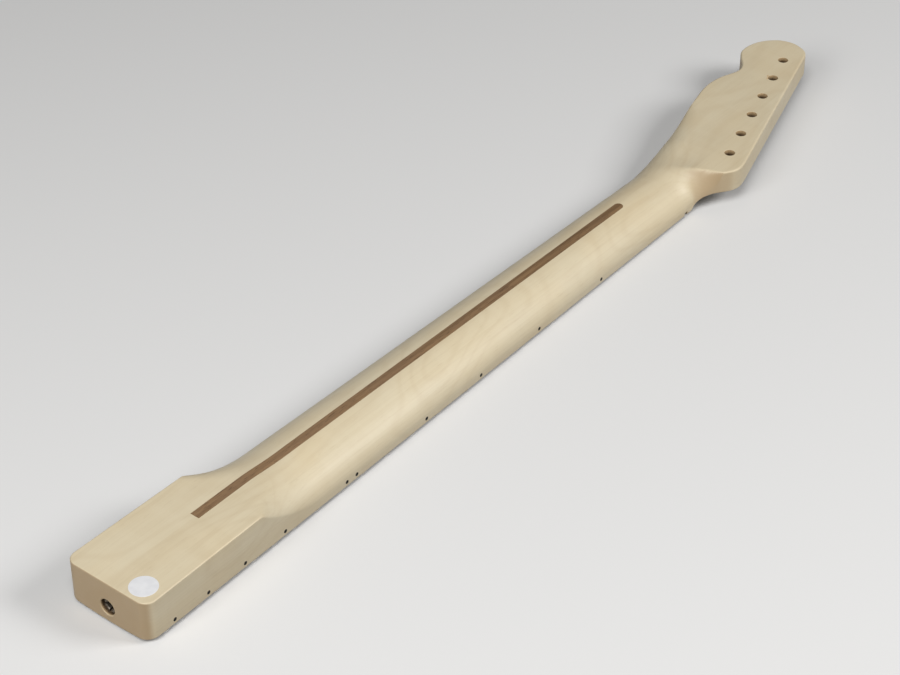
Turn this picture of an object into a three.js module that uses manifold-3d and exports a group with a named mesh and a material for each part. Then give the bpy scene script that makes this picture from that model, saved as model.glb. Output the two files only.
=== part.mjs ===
// Electric guitar neck for a bolt-on body, in millimetres: one-piece maple with its frets in,
// a walnut filler strip down the back and an adjustable rod inside, before any tuner or nut
// is fitted.
//
// It lies on its frets with the back up. X runs from the heel to the headstock, +Y is the
// treble side and +Z is the back. The origin is the centre of the heel's flat back. Inside
// this file X starts at the heel end and heights start at the middle of the playing face;
// the group at the end moves all of it to the origin.

import * as THREE from 'three';
import { mergeVertices } from 'three/addons/utils/BufferGeometryUtils.js';
import Module from 'manifold-3d';

const wasm = await Module();
wasm.setup();

// Playing face
const scaleLength = 647.7;
const fretCount = 21;
const lastFretToHeelEnd = 12.36;
const nutWidth = 41.3;
const heelWidth = 56.2;
const faceRadius = 241.3;

// Maple blank, heel and shaft
const blankThickness = 25.4;
const seatCentre = 38;
const heelCornerRadius = 6.8;
const heelEdgeRadius = 0.8;
const sideHeightAtHeel = 6;
const sideHeightAtNut = 4;
const shaftThicknessAtHeel = 24.1;
const shaftThicknessAtNut = 21.3;
const shaftPowerAtHeel = 1.9;
const shaftPowerAtNut = 1.88;

// Where the shaft's curve runs out at the heel and at the headstock, on each side and along
// the crown, and how softly it meets the flat back
const bassSeatLength = 83;
const bassHeelCarveRadius = 79.4;
const trebleSeatLength = 82.6;
const trebleHeelCarveRadius = 51;
const crownCarveLength = 45;
const crownCarveRadius = 150;
const bassHeadCarveBeforeNut = 1.5;
const bassHeadCarveRadius = 26;
const trebleHeadCarvePastNut = 10;
const trebleHeadCarveRadius = 60;
const carveBlendWidth = 20;
const bassHeelCreaseSoftness = 1.6;
const trebleHeelCreaseSoftness = 4;
const bassHeadCreaseSoftness = 1.2;
const trebleHeadCreaseSoftness = 3.6;

// Headstock
const headLength = 183.3;
const headWidth = 77.4;
const headThickness = 14.3;
const headEdgeRadius = 1.2;
const ballRadius = 25.6;
const faceStepRadius = 14;
const trebleFadeLength = 88;

// Nut slot and the ledge behind it
const nutSlotWidth = 3.2;
const nutSlotSetback = 1.2;
const nutSlotDepth = 3;
const ledgeLength = 8.5;

// Tuner holes
const tunerCount = 6;
const tunerHoleDiameter = 6.5;
const tunerPitch = 24.02;
const tunerInset = 11.9;
const lastTunerToTip = 23.2;

// Filler strip in the back and its channel
const stripWidth = 5.8;
const stripStart = 63;
const stripToNut = 37.5;
const glueGap = 0.06;

// Rod, its nut and washer at the heel, its anchor and plug at the headstock
const rodDiameter = 4.76;
const rodDepthAtHeel = 9.2;
const rodDepthAtNut = 7.3;
const rodBow = 4.2;
const rodClearance = 0.25;
const heelBoreDiameter = 9.5;
const heelBoreChamfer = 0.4;
const trussNutDiameter = 8.7;
const trussNutLength = 12;
const trussNutRecess = 1.8;
const trussSlotWidth = 1.3;
const trussSlotDepth = 2.4;
const rodShortOfNutFace = 3.4;
const washerDiameter = 9;
const washerThickness = 1.5;
const threadGap = 0.06;
const seatGap = 0.05;
const anchorBoreDiameter = 7;
const anchorDiameter = 6.8;
const anchorLength = 10;
const anchorToNut = 10.3;

// Frets
const fretCrownWidth = 2.4;
const fretCrownHeight = 1.1;
const fretTangWidth = 0.52;
const fretTangDepth = 1.6;
const fretSlotWidth = 0.62;
const fretSlotDepth = 1.8;
const fretSlotEndWall = 1.4;
const fretEndInset = 0.12;
const fretEndBevel = 0.7;
const fretEndHeightShare = 0.35;

// Position dots
const sideDotDiameter = 2;
const sideDotDepth = 2.5;
const sideDotAboveEdge = 2.8;
const sideDotPairSpacing = 8;
const faceDotDiameter = 6.35;
const faceDotDepth = 1.6;
const faceDotPairSpacing = 25.4;
const dotGap = 0.05;

// Round paper sticker on the heel
const stickerDiameter = 15;
const stickerThickness = 0.1;
const stickerFromEnd = 10;
const stickerFromCentre = 16.5;

// One overrun for every cut that passes a surface
const overrun = 1;

// Headstock outline: shares of the headstock's length past the nut, and of its width from the
// centre line. The treble side ends in the notch before the round ball end
const trebleOutlineShares = [
  [0.100, 0.265], [0.205, 0.262], [0.300, 0.295], [0.399, 0.350], [0.476, 0.395], [0.531, 0.425],
  [0.586, 0.437], [0.642, 0.420], [0.687, 0.383], [0.706, 0.369], [0.726, 0.365], [0.747, 0.378],
  [0.766, 0.401], [0.787, 0.442], [0.804, 0.473],
];
const notchStartShare = 0.687;
const ballCentreShare = [0.868, 0.194];
const ballFromDegrees = 104;
const ballToDegrees = 28;
const ballSteps = 5;
const tipOutlineShares = [[1.000, 0.239], [0.992, 0.163], [0.977, 0.098], [0.954, 0.058]];
const straightEdgeShares = [[0.919, 0.032], [0.286, -0.4205]];
const bassOutlineShares = [
  [0.254, -0.444], [0.224, -0.464], [0.194, -0.474], [0.164, -0.460], [0.131, -0.412],
  [0.101, -0.358], [0.071, -0.300],
];

// How the shaft's roundness dies away along the headstock's treble side
const trebleDropPower = 1.4;
const trebleRunPower = 0.62;

// Numbers of points and facets
const backPoints = 17;
const facePoints = 9;
const outlineSamples = 600;
const rodSteps = 22;
const rodSides = 10;
const boreSides = 20;
const faceDotSides = 16;
const sideDotSides = 12;
const stripSamples = 16;
const stripEndSides = 12;
const barFacets = 7;

// Places worked out from the sizes above
const fretPlace = (n) => scaleLength * (1 - 2 ** (-n / 12));
const boardLength = fretPlace(fretCount) + lastFretToHeelEnd;
const fretX = (n) => boardLength - fretPlace(n);
const tipX = boardLength + headLength;
const stripEnd = boardLength - stripToNut;
const headFaceHeight = blankThickness - headThickness;
const ledgeEnd = boardLength + ledgeLength;
const stepEnd = ledgeEnd + Math.sqrt(faceStepRadius ** 2 - (faceStepRadius - headFaceHeight) ** 2);
const heelCarveDrop = blankThickness - sideHeightAtHeel;
const heelCarveEnd = (seat, radius) => (
  seat + Math.sqrt(heelCarveDrop * (2 * radius - heelCarveDrop))
);
const bassHeelCarveEnd = heelCarveEnd(bassSeatLength, bassHeelCarveRadius);
const trebleHeelCarveEnd = heelCarveEnd(trebleSeatLength, trebleHeelCarveRadius);
const crownCarveEnd = bassSeatLength + crownCarveLength;
const bassHeadCarveStart = boardLength - bassHeadCarveBeforeNut;
const trebleHeadCarveStart = boardLength + trebleHeadCarvePastNut;
const shoulderX = trussNutRecess + trussNutLength + washerThickness + 2 * seatGap;
const anchorX = boardLength - anchorToNut;
const anchorEnd = anchorX + seatGap + anchorLength;

const materials = {
  maple: new THREE.MeshStandardMaterial({ color: 0xd9caa9, roughness: 0.62, metalness: 0 }),
  walnut: new THREE.MeshStandardMaterial({ color: 0x86684d, roughness: 0.65, metalness: 0 }),
  steel: new THREE.MeshStandardMaterial({ color: 0x8b8984, roughness: 0.4, metalness: 0.9 }),
  fretWire: new THREE.MeshStandardMaterial({ color: 0xc9c5ba, roughness: 0.25, metalness: 1 }),
  blackDot: new THREE.MeshStandardMaterial({ color: 0x171412, roughness: 0.4, metalness: 0 }),
  paper: new THREE.MeshStandardMaterial({ color: 0xe4e3e1, roughness: 0.5, metalness: 0 }),
};

const neck = new THREE.Group();
neck.position.set(-seatCentre, 0, -blankThickness);

// Solids and meshes
function toSolid(geometry) {
  const bare = geometry.clone();
  for (const name of Object.keys(bare.attributes)) {
    if (name !== 'position') bare.deleteAttribute(name);
  }
  const merged = mergeVertices(bare);
  const vertProperties = new Float32Array(merged.attributes.position.array);
  const triVerts = new Uint32Array(merged.index.array);
  return new wasm.Manifold(new wasm.Mesh({ numProp: 3, vertProperties, triVerts }));
}

function toGeometry(solid) {
  const mesh = solid.getMesh();
  const geometry = new THREE.BufferGeometry();
  geometry.setAttribute('position', new THREE.BufferAttribute(mesh.vertProperties, mesh.numProp));
  geometry.setIndex(new THREE.BufferAttribute(mesh.triVerts, 1));
  geometry.computeVertexNormals();
  return geometry;
}

function addPart(name, solid, material) {
  const mesh = new THREE.Mesh(toGeometry(solid), material);
  mesh.name = name;
  neck.add(mesh);
}

function indexedSolid(points, triangles) {
  const geometry = new THREE.BufferGeometry();
  geometry.setAttribute('position', new THREE.Float32BufferAttribute(points.flat(), 3));
  geometry.setIndex(triangles.flat());
  return toSolid(geometry);
}

// Cylinders whose axis runs along X, Y or Z, from one end to the other
function cylinderAlongX(diameter, fromX, toX, y, z, sides) {
  const geometry = new THREE.CylinderGeometry(diameter / 2, diameter / 2, toX - fromX, sides);
  geometry.rotateZ(-Math.PI / 2);
  return toSolid(geometry.translate((fromX + toX) / 2, y, z));
}

function cylinderAlongY(diameter, fromY, toY, x, z, sides) {
  const geometry = new THREE.CylinderGeometry(diameter / 2, diameter / 2, toY - fromY, sides);
  return toSolid(geometry.translate(x, (fromY + toY) / 2, z));
}

function cylinderAlongZ(diameter, fromZ, toZ, x, y, sides) {
  const geometry = new THREE.CylinderGeometry(diameter / 2, diameter / 2, toZ - fromZ, sides);
  geometry.rotateX(Math.PI / 2);
  return toSolid(geometry.translate(x, y, (fromZ + toZ) / 2));
}

function boxBetween(low, high) {
  const size = high.map((value, axis) => value - low[axis]);
  const middle = high.map((value, axis) => (value + low[axis]) / 2);
  return toSolid(new THREE.BoxGeometry(...size).translate(...middle));
}

// Ring about an axis along X, from one end to the other
function ringAlongX(outer, inner, fromX, toX, y, z, sides) {
  const profile = [
    [inner / 2, fromX], [outer / 2, fromX], [outer / 2, toX], [inner / 2, toX], [inner / 2, fromX],
  ].map(([radius, height]) => new THREE.Vector2(radius, height));
  const geometry = new THREE.LatheGeometry(profile, sides).rotateZ(-Math.PI / 2);
  return toSolid(geometry.translate(0, y, z));
}

// Plan outline: half widths of the neck at any X
const clamp = (value, low, high) => Math.min(Math.max(value, low), high);
const halfWidth = (x) => THREE.MathUtils.lerp(heelWidth, nutWidth, x / boardLength) / 2;

const headPoint = ([along, across]) => [boardLength + along * headLength, across * headWidth];
const ballCentre = headPoint(ballCentreShare);
const ballPoints = Array.from({ length: ballSteps + 1 }, (_, i) => {
  const degrees = THREE.MathUtils.lerp(ballFromDegrees, ballToDegrees, i / ballSteps);
  const angle = THREE.MathUtils.degToRad(degrees);
  return [ballCentre[0] + ballRadius * Math.cos(angle), ballCentre[1] + ballRadius * Math.sin(angle)];
});
const straightEdge = straightEdgeShares.map(headPoint);
const outlinePoints = [
  [boardLength, nutWidth / 2],
  [ledgeEnd, nutWidth / 2],
  ...trebleOutlineShares.map(headPoint),
  ...ballPoints,
  ...tipOutlineShares.map(headPoint),
  ...straightEdge,
  ...bassOutlineShares.map(headPoint),
  [ledgeEnd, -nutWidth / 2],
  [boardLength, -nutWidth / 2],
].map(([x, y]) => new THREE.Vector3(x, y, 0));
const outline = new THREE.CatmullRomCurve3(outlinePoints, false, 'centripetal').getPoints(outlineSamples);
const tipIndex = outline.reduce((best, point, i) => (point.x > outline[best].x ? i : best), 0);
const trebleOutline = outline.slice(0, tipIndex + 1);
const bassOutline = outline.slice(tipIndex).reverse();
const outlineTip = outline[tipIndex].x;

// Side of the headstock at X: its Y and the cosine of its slope
function headSide(points, x) {
  let i = points.findIndex((point) => point.x >= x);
  i = clamp(i < 0 ? points.length - 1 : i, 1, points.length - 1);
  const [a, b] = [points[i - 1], points[i]];
  const run = b.x - a.x;
  const share = run > 0 ? clamp((x - a.x) / run, 0, 1) : 1;
  return { y: THREE.MathUtils.lerp(a.y, b.y, share), cosine: run / Math.hypot(run, b.y - a.y) };
}

// Both sides of the neck at X, with the heel's rounded corners
function sidesAt(x) {
  if (x > boardLength) {
    return { treble: headSide(trebleOutline, x), bass: headSide(bassOutline, x) };
  }
  const inCorner = heelCornerRadius - clamp(x, 0, heelCornerRadius);
  const cutBack = heelCornerRadius - Math.sqrt(heelCornerRadius ** 2 - inCorner ** 2);
  const y = halfWidth(x) - cutBack;
  const cosine = Math.sqrt(1 - (inCorner / heelCornerRadius) ** 2);
  return { treble: { y, cosine }, bass: { y: -y, cosine } };
}

// Height of the playing face, of the ledge behind the nut and of the headstock's front
const faceCrown = (y) => faceRadius - Math.sqrt(faceRadius ** 2 - y ** 2);

function faceHeight(x, y) {
  if (x <= ledgeEnd) return faceCrown(y);
  const fromStepEnd = Math.max(stepEnd - x, 0);
  const step = headFaceHeight - faceStepRadius + Math.sqrt(faceStepRadius ** 2 - fromStepEnd ** 2);
  return Math.min(Math.max(step, faceCrown(y)), headFaceHeight);
}

// Height of the back. Each side starts at the top of its upright wall and curves in to the
// crown. The wall's top climbs where the carving runs out towards the heel and the headstock,
// and the flat back of the blank cuts the curve off there.
const softMin = (a, b, softness) => {
  const near = Math.max(softness - Math.abs(a - b), 0) / softness;
  return Math.min(a, b) - (near ** 2) * softness / 4;
};
const roundness = (share, power) => (1 - (1 - clamp(share, 0, 1)) ** power) ** (1 / power);
const arcLift = (run, radius) => {
  const along = clamp(run, 0, radius);
  return radius - Math.sqrt(radius ** 2 - along ** 2);
};
const edgeDrop = (inset, radius) => {
  const along = radius - clamp(inset, 0, radius);
  return radius - Math.sqrt(radius ** 2 - along ** 2);
};

// How far the carving at both ends lifts the top of the wall, and how far it lifts the crown
function liftsAt(x, across) {
  const { lerp } = THREE.MathUtils;
  const heel = lerp(
    arcLift(bassHeelCarveEnd - x, bassHeelCarveRadius),
    arcLift(trebleHeelCarveEnd - x, trebleHeelCarveRadius),
    across,
  );
  const head = lerp(
    arcLift(x - bassHeadCarveStart, bassHeadCarveRadius),
    arcLift(x - trebleHeadCarveStart, trebleHeadCarveRadius),
    across,
  );
  return { wall: heel + head, crown: arcLift(crownCarveEnd - x, crownCarveRadius) + head };
}

// How gradually the curve meets the flat back: more so on the treble side
function creaseSoftness(x, y, across) {
  const { lerp, smoothstep } = THREE.MathUtils;
  return x > stripEnd
    ? lerp(bassHeadCreaseSoftness, trebleHeadCreaseSoftness, across)
    : lerp(bassHeelCreaseSoftness, trebleHeelCreaseSoftness, smoothstep(y, 0, halfWidth(x)));
}

function backHeight(x, y, sides) {
  const { lerp, smoothstep } = THREE.MathUtils;
  const onHead = x > boardLength;
  const alongShare = clamp((x - bassHeelCarveEnd) / (bassHeadCarveStart - bassHeelCarveEnd), 0, 1);
  const thickness = lerp(shaftThicknessAtHeel, shaftThicknessAtNut, alongShare);
  const sideHeight = lerp(sideHeightAtHeel, sideHeightAtNut, alongShare);
  const power = lerp(shaftPowerAtHeel, shaftPowerAtNut, alongShare);
  const across = smoothstep(y, -carveBlendWidth / 2, carveBlendWidth / 2);
  const lifts = liftsAt(x, across);
  const crown = thickness + lifts.crown;
  const rise = crown - sideHeight - lifts.wall;
  const run = onHead ? nutWidth / 2 : halfWidth(x);
  const bassInset = (y - sides.bass.y) * sides.bass.cosine;
  const trebleInset = (sides.treble.y - y) * sides.treble.cosine;
  const fade = onHead ? 1 - clamp((x - boardLength) / trebleFadeLength, 0, 1) : 1;
  const trebleRun = Math.max(run * fade ** trebleRunPower, headEdgeRadius);
  const trebleDrop = rise * fade ** trebleDropPower * (1 - roundness(trebleInset / trebleRun, power));
  const bass = crown - rise * (1 - roundness(bassInset / run, power));
  const softness = creaseSoftness(x, y, across);
  const cutFlat = (height) => softMin(blankThickness, height, softness);
  const height = onHead
    ? Math.min(cutFlat(bass), cutFlat(crown) - trebleDrop)
    : cutFlat(Math.min(bass, crown - trebleDrop));
  const edgeRadius = onHead ? headEdgeRadius : heelEdgeRadius;
  const inset = Math.min(bassInset, trebleInset, x);
  return Math.min(height, blankThickness - edgeDrop(inset, edgeRadius));
}

// Loft of the blank: stations along X, each with a row of points on the back and one on the
// face below it
function stationsBetween(from, to, count) {
  return Array.from({ length: count }, (_, i) => THREE.MathUtils.lerp(from, to, i / count));
}

function stationsIntoEnd(from, to, count) {
  const spread = (i) => Math.sin((Math.PI / 2) * (i / count));
  return Array.from({ length: count }, (_, i) => THREE.MathUtils.lerp(from, to, spread(i)));
}

const carveStart = Math.min(bassSeatLength, trebleSeatLength) - trebleHeelCreaseSoftness;
const trebleFadeEnd = boardLength + trebleFadeLength;
const notchStart = boardLength + notchStartShare * headLength;
const stations = [
  0,
  ...stationsIntoEnd(heelCornerRadius, 0, 4).reverse(),
  ...stationsBetween(heelCornerRadius, carveStart, 2).slice(1),
  ...stationsBetween(carveStart, bassHeelCarveEnd, 13),
  ...stationsBetween(bassHeelCarveEnd, bassHeadCarveStart, 6),
  ...stationsBetween(bassHeadCarveStart, ledgeEnd, 2),
  ...stationsBetween(ledgeEnd, stepEnd, 5),
  ...stationsBetween(stepEnd, trebleFadeEnd, 9),
  ...stationsBetween(trebleFadeEnd, notchStart, 6),
  ...stationsBetween(notchStart, ballCentre[0], 9),
  ...stationsIntoEnd(ballCentre[0], outlineTip, 8),
];

function blankSolid() {
  const rowShare = (i, count) => (1 + Math.sin((Math.PI / 2) * ((2 * i) / (count - 1) - 1))) / 2;
  const points = [];
  for (const x of stations) {
    const sides = sidesAt(x);
    const acrossAt = (i, count) => (
      THREE.MathUtils.lerp(sides.bass.y, sides.treble.y, rowShare(i, count))
    );
    for (let i = 0; i < backPoints; i += 1) {
      const y = acrossAt(i, backPoints);
      points.push([x, y, backHeight(x, y, sides)]);
    }
    for (let i = facePoints - 1; i >= 0; i -= 1) {
      const y = acrossAt(i, facePoints);
      points.push([x, y, faceHeight(x, y)]);
    }
  }
  const ring = backPoints + facePoints;
  const triangles = [];
  for (let i = 0; i < stations.length - 1; i += 1) {
    for (let k = 0; k < ring; k += 1) {
      const a = i * ring + k;
      const b = i * ring + ((k + 1) % ring);
      triangles.push([a, a + ring, b + ring], [a, b + ring, b]);
    }
  }
  const last = (stations.length - 1) * ring;
  for (const [a, b, c] of endCap(points.slice(0, ring))) triangles.push([a, b, c]);
  for (const [a, b, c] of endCap(points.slice(last))) triangles.push([last + a, last + c, last + b]);
  return indexedSolid(points, triangles);
}

// Flat end of a loft: its triangles, seen from the side that X runs away from
function endCap(ringPoints) {
  const flat = ringPoints.map(([, y, z]) => new THREE.Vector2(-y, z));
  return THREE.ShapeUtils.triangulateShape(flat, []);
}

// Rod path: straight at both ends, bowed towards the back between the ends of the strip
function rodHeight(x) {
  const share = clamp((x - stripStart) / (stripEnd - stripStart), 0, 1);
  const line = THREE.MathUtils.lerp(rodDepthAtHeel, rodDepthAtNut, THREE.MathUtils.smoothstep(share, 0, 1));
  return line + rodBow * Math.sin(Math.PI * share) ** 2;
}

function rodAlong(fromX, toX, diameter) {
  const points = [];
  const ring = Array.from({ length: rodSides }, (_, k) => (2 * Math.PI * (k + 0.5)) / rodSides);
  const places = [
    fromX,
    ...stationsBetween(stripStart, stripEnd, rodSteps),
    stripEnd,
    toX,
  ];
  for (const x of places) {
    for (const angle of ring) {
      points.push([
        x,
        (diameter / 2) * Math.cos(angle),
        rodHeight(x) + (diameter / 2) * Math.sin(angle),
      ]);
    }
  }
  const triangles = [];
  for (let i = 0; i < places.length - 1; i += 1) {
    for (let k = 0; k < rodSides; k += 1) {
      const a = i * rodSides + k;
      const b = i * rodSides + ((k + 1) % rodSides);
      triangles.push([a, b, b + rodSides], [a, b + rodSides, a + rodSides]);
    }
  }
  const end = (places.length - 1) * rodSides;
  for (let k = 1; k < rodSides - 1; k += 1) {
    triangles.push([0, k + 1, k], [end, end + k, end + k + 1]);
  }
  return indexedSolid(points, triangles);
}

// Channel for the strip, seen from the side: its floor follows the rod
function channelSide(fromX, toX, floorAboveRod, halfThickness) {
  const floor = stationsBetween(fromX, toX, stripSamples).concat(toX)
    .map((x) => new THREE.Vector2(x, rodHeight(x) + floorAboveRod));
  const top = blankThickness + overrun;
  const shape = new THREE.Shape([
    ...floor, new THREE.Vector2(toX, top), new THREE.Vector2(fromX, top),
  ]);
  const geometry = new THREE.ExtrudeGeometry(shape, {
    depth: 2 * halfThickness, bevelEnabled: false, steps: 1,
  });
  geometry.translate(0, 0, -halfThickness);
  return toSolid(geometry.rotateX(Math.PI / 2));
}

// The same channel seen from the back: square at the heel, round towards the headstock
function channelPlan(fromX, toX, half) {
  const shape = new THREE.Shape();
  shape.moveTo(fromX, -half);
  shape.lineTo(toX - half, -half);
  shape.absarc(toX - half, 0, half, -Math.PI / 2, Math.PI / 2, false);
  shape.lineTo(fromX, half);
  const geometry = new THREE.ExtrudeGeometry(shape, {
    depth: blankThickness + 2 * overrun, bevelEnabled: false, curveSegments: stripEndSides,
  });
  return toSolid(geometry.translate(0, 0, -overrun));
}

function channelSolid(gap, floorAboveRod) {
  const half = stripWidth / 2 - gap;
  const side = channelSide(stripStart + gap, stripEnd - gap, floorAboveRod, half + overrun);
  return side.intersect(channelPlan(stripStart + gap, stripEnd - gap, half));
}

// Bar bent to the curve of the playing face, for the frets and their slots. A profile point
// is [along X, out from the face's surface], and a bevel lowers the two end rows
function bentBar(x, halfLength, profile, endBevel = 0) {
  const inner = halfLength - endBevel;
  const middle = Array.from({ length: barFacets + 1 }, (_, i) => (
    THREE.MathUtils.lerp(-inner, inner, i / barFacets)
  ));
  const ends = endBevel > 0 ? [halfLength] : [];
  const rows = [...ends.map((y) => -y), ...middle, ...ends];
  const points = [];
  rows.forEach((y, row) => {
    const bevelled = endBevel > 0 && (row === 0 || row === rows.length - 1);
    const angle = Math.asin(y / faceRadius);
    for (const [along, out] of profile) {
      const radius = faceRadius + (bevelled && out > 0 ? out * fretEndHeightShare : out);
      points.push([x + along, radius * Math.sin(angle), faceRadius - radius * Math.cos(angle)]);
    }
  });
  const count = profile.length;
  const triangles = [];
  for (let i = 0; i < rows.length - 1; i += 1) {
    for (let k = 0; k < count; k += 1) {
      const a = i * count + k;
      const b = i * count + ((k + 1) % count);
      triangles.push([a, b, b + count], [a, b + count, a + count]);
    }
  }
  const cap = THREE.ShapeUtils.triangulateShape(profile.map(([u, v]) => new THREE.Vector2(u, v)), []);
  const end = (rows.length - 1) * count;
  for (const [a, b, c] of cap) {
    triangles.push([a, c, b], [end + a, end + b, end + c]);
  }
  return indexedSolid(points, triangles);
}

// Frets: a low arched crown over a thin tang. The crown reaches the edges of the board, and
// the tang and its slot stop short of them, so that no slot shows from the side
const crownShares = [[1, 0], [0.9, 0.54], [0.45, 1], [-0.45, 1], [-0.9, 0.54], [-1, 0]];

function fretSolid(n) {
  const x = fretX(n);
  const half = fretTangWidth / 2;
  const top = fretCrownHeight / 2;
  const crown = crownShares.map(([across, up]) => [
    (across * fretCrownWidth) / 2,
    seatGap + up * (fretCrownHeight - seatGap),
  ]);
  const tang = [[half, top], [-half, top], [-half, -fretTangDepth], [half, -fretTangDepth]];
  return bentBar(x, halfWidth(x) - fretEndInset, crown, fretEndBevel)
    .add(bentBar(x, halfWidth(x) - fretSlotEndWall - seatGap, tang));
}

function fretSlot(n) {
  const half = fretSlotWidth / 2;
  const profile = [[half, overrun], [-half, overrun], [-half, -fretSlotDepth], [half, -fretSlotDepth]];
  const x = fretX(n);
  return bentBar(x, halfWidth(x) - fretSlotEndWall, profile);
}

// Position dots stand half way between two frets: one each, and a pair at the octave
const octaveFret = 12;
const dotFrets = [3, 5, 7, 9, octaveFret, 15, 17, 19, 21].filter((n) => n <= fretCount);
const dotX = (n) => (fretX(n) + fretX(n - 1)) / 2;

function sideDotPlaces() {
  return dotFrets.flatMap((n) => (n === octaveFret
    ? [[`side_dot_${n}_head`, dotX(n) + sideDotPairSpacing / 2],
      [`side_dot_${n}_heel`, dotX(n) - sideDotPairSpacing / 2]]
    : [[`side_dot_${n}`, dotX(n)]]));
}

function faceDotPlaces() {
  return dotFrets.flatMap((n) => (n === octaveFret
    ? [[`face_dot_${n}_treble`, dotX(n), faceDotPairSpacing / 2],
      [`face_dot_${n}_bass`, dotX(n), -faceDotPairSpacing / 2]]
    : [[`face_dot_${n}`, dotX(n), 0]]));
}

function sideDotTool(x, gap) {
  const surface = halfWidth(x);
  const height = faceCrown(surface) + sideDotAboveEdge;
  const diameter = sideDotDiameter + 2 * gap;
  return cylinderAlongY(diameter, -surface - overrun, -surface + sideDotDepth + gap, x, height, sideDotSides);
}

function faceDotTool(x, y, gap) {
  const depth = faceCrown(y) + faceDotDepth + gap;
  return cylinderAlongZ(faceDotDiameter + 2 * gap, -overrun, depth, x, y, faceDotSides);
}

// Tuner holes stand in a row beside the headstock's straight edge
function tunerPlaces() {
  const [start, end] = straightEdge.map(([x, y]) => new THREE.Vector2(x, y));
  const along = end.clone().sub(start).normalize();
  const inward = new THREE.Vector2(along.y, -along.x);
  const row = start.clone().addScaledVector(inward, tunerInset);
  const toLast = (tipX - lastTunerToTip - row.x) / along.x;
  return Array.from({ length: tunerCount }, (_, i) => (
    row.clone().addScaledVector(along, toLast + i * tunerPitch)
  ));
}

// Maple neck with everything cut into it
const blank = blankSolid();
const rodStart = trussNutRecess + rodShortOfNutFace;

function heelBore() {
  const bore = cylinderAlongX(heelBoreDiameter, -overrun, shoulderX, 0, rodDepthAtHeel, boreSides);
  const radius = heelBoreDiameter / 2;
  const profile = [
    [0, -overrun], [radius + heelBoreChamfer + overrun, -overrun],
    [radius + heelBoreChamfer, 0], [radius, heelBoreChamfer], [0, heelBoreChamfer],
  ].map(([r, h]) => new THREE.Vector2(r, h));
  const chamfer = new THREE.LatheGeometry(profile, boreSides).rotateZ(-Math.PI / 2);
  return bore.add(toSolid(chamfer.translate(0, 0, rodDepthAtHeel)));
}

function neckCuts() {
  const rodHoleDiameter = rodDiameter + 2 * rodClearance;
  const heelRodHole = cylinderAlongX(
    rodHoleDiameter, shoulderX - overrun, stripStart + overrun, 0, rodDepthAtHeel, rodSides,
  );
  const nutRodHole = cylinderAlongX(
    rodHoleDiameter, stripEnd - stripWidth, anchorX + overrun, 0, rodDepthAtNut, rodSides,
  );
  const anchorBore = cylinderAlongX(
    anchorBoreDiameter, anchorX, stepEnd + anchorBoreDiameter, 0, rodDepthAtNut, boreSides,
  );
  const nutSlot = boxBetween(
    [boardLength + nutSlotSetback, -nutWidth, -overrun],
    [boardLength + nutSlotSetback + nutSlotWidth, nutWidth, nutSlotDepth],
  );
  const stickerPocket = cylinderAlongZ(
    stickerDiameter + 2 * seatGap,
    blankThickness - stickerThickness - seatGap,
    blankThickness + overrun,
    stickerFromEnd,
    -stickerFromCentre,
    boreSides,
  );
  const frets = Array.from({ length: fretCount }, (_, i) => fretSlot(i + 1));
  const sideDots = sideDotPlaces().map(([, x]) => sideDotTool(x, dotGap));
  const faceDots = faceDotPlaces().map(([, x, y]) => faceDotTool(x, y, dotGap));
  const tuners = tunerPlaces().map(({ x, y }) => (
    cylinderAlongZ(tunerHoleDiameter, 0, blankThickness + overrun, x, y, boreSides)
  ));
  const channel = channelSolid(0, -rodDiameter / 2 - rodClearance);
  return [heelBore(), heelRodHole, nutRodHole, channel, anchorBore, nutSlot, stickerPocket,
    ...frets, ...sideDots, ...faceDots, ...tuners];
}

const maple = neckCuts().reduce((solid, cut) => solid.subtract(cut), blank);
addPart('neck_blank', maple, materials.maple);

// Walnut strip over the rod and walnut plug behind the nut, both trimmed flush
addPart('filler_strip', blank.intersect(channelSolid(glueGap, rodDiameter / 2 + rodClearance)), materials.walnut);
const plugTool = cylinderAlongX(
  anchorBoreDiameter - 2 * glueGap, anchorEnd + seatGap, stepEnd + anchorBoreDiameter,
  0, rodDepthAtNut, boreSides,
);
addPart('anchor_plug', blank.intersect(plugTool), materials.walnut);

// Rod with its anchor, washer and slotted nut
addPart('truss_rod', rodAlong(rodStart, anchorEnd, rodDiameter), materials.steel);
const threadBore = rodDiameter + 2 * threadGap;
addPart('truss_anchor', ringAlongX(
  anchorDiameter, threadBore, anchorX + seatGap, anchorEnd, 0, rodDepthAtNut, boreSides,
), materials.steel);
addPart('truss_washer', ringAlongX(
  washerDiameter, threadBore, shoulderX - seatGap - washerThickness, shoulderX - seatGap,
  0, rodDepthAtHeel, boreSides,
), materials.steel);

function trussNut() {
  const faceX = trussNutRecess;
  const body = ringAlongX(
    trussNutDiameter, threadBore, faceX, faceX + trussNutLength, 0, rodDepthAtHeel, boreSides,
  );
  const slot = (halfY, halfZ) => boxBetween(
    [faceX - overrun, -halfY, rodDepthAtHeel - halfZ],
    [faceX + trussSlotDepth, halfY, rodDepthAtHeel + halfZ],
  );
  return body
    .subtract(slot(trussNutDiameter, trussSlotWidth / 2))
    .subtract(slot(trussSlotWidth / 2, trussNutDiameter));
}
addPart('truss_nut', trussNut(), materials.steel);

// Frets, numbered from the nut
for (let n = 1; n <= fretCount; n += 1) {
  addPart(`fret_${String(n).padStart(2, '0')}`, fretSolid(n), materials.fretWire);
}

// Dots, trimmed flush with the wood
for (const [name, x] of sideDotPlaces()) {
  addPart(name, blank.intersect(sideDotTool(x, 0)), materials.blackDot);
}
for (const [name, x, y] of faceDotPlaces()) {
  addPart(name, blank.intersect(faceDotTool(x, y, 0)), materials.blackDot);
}

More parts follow.
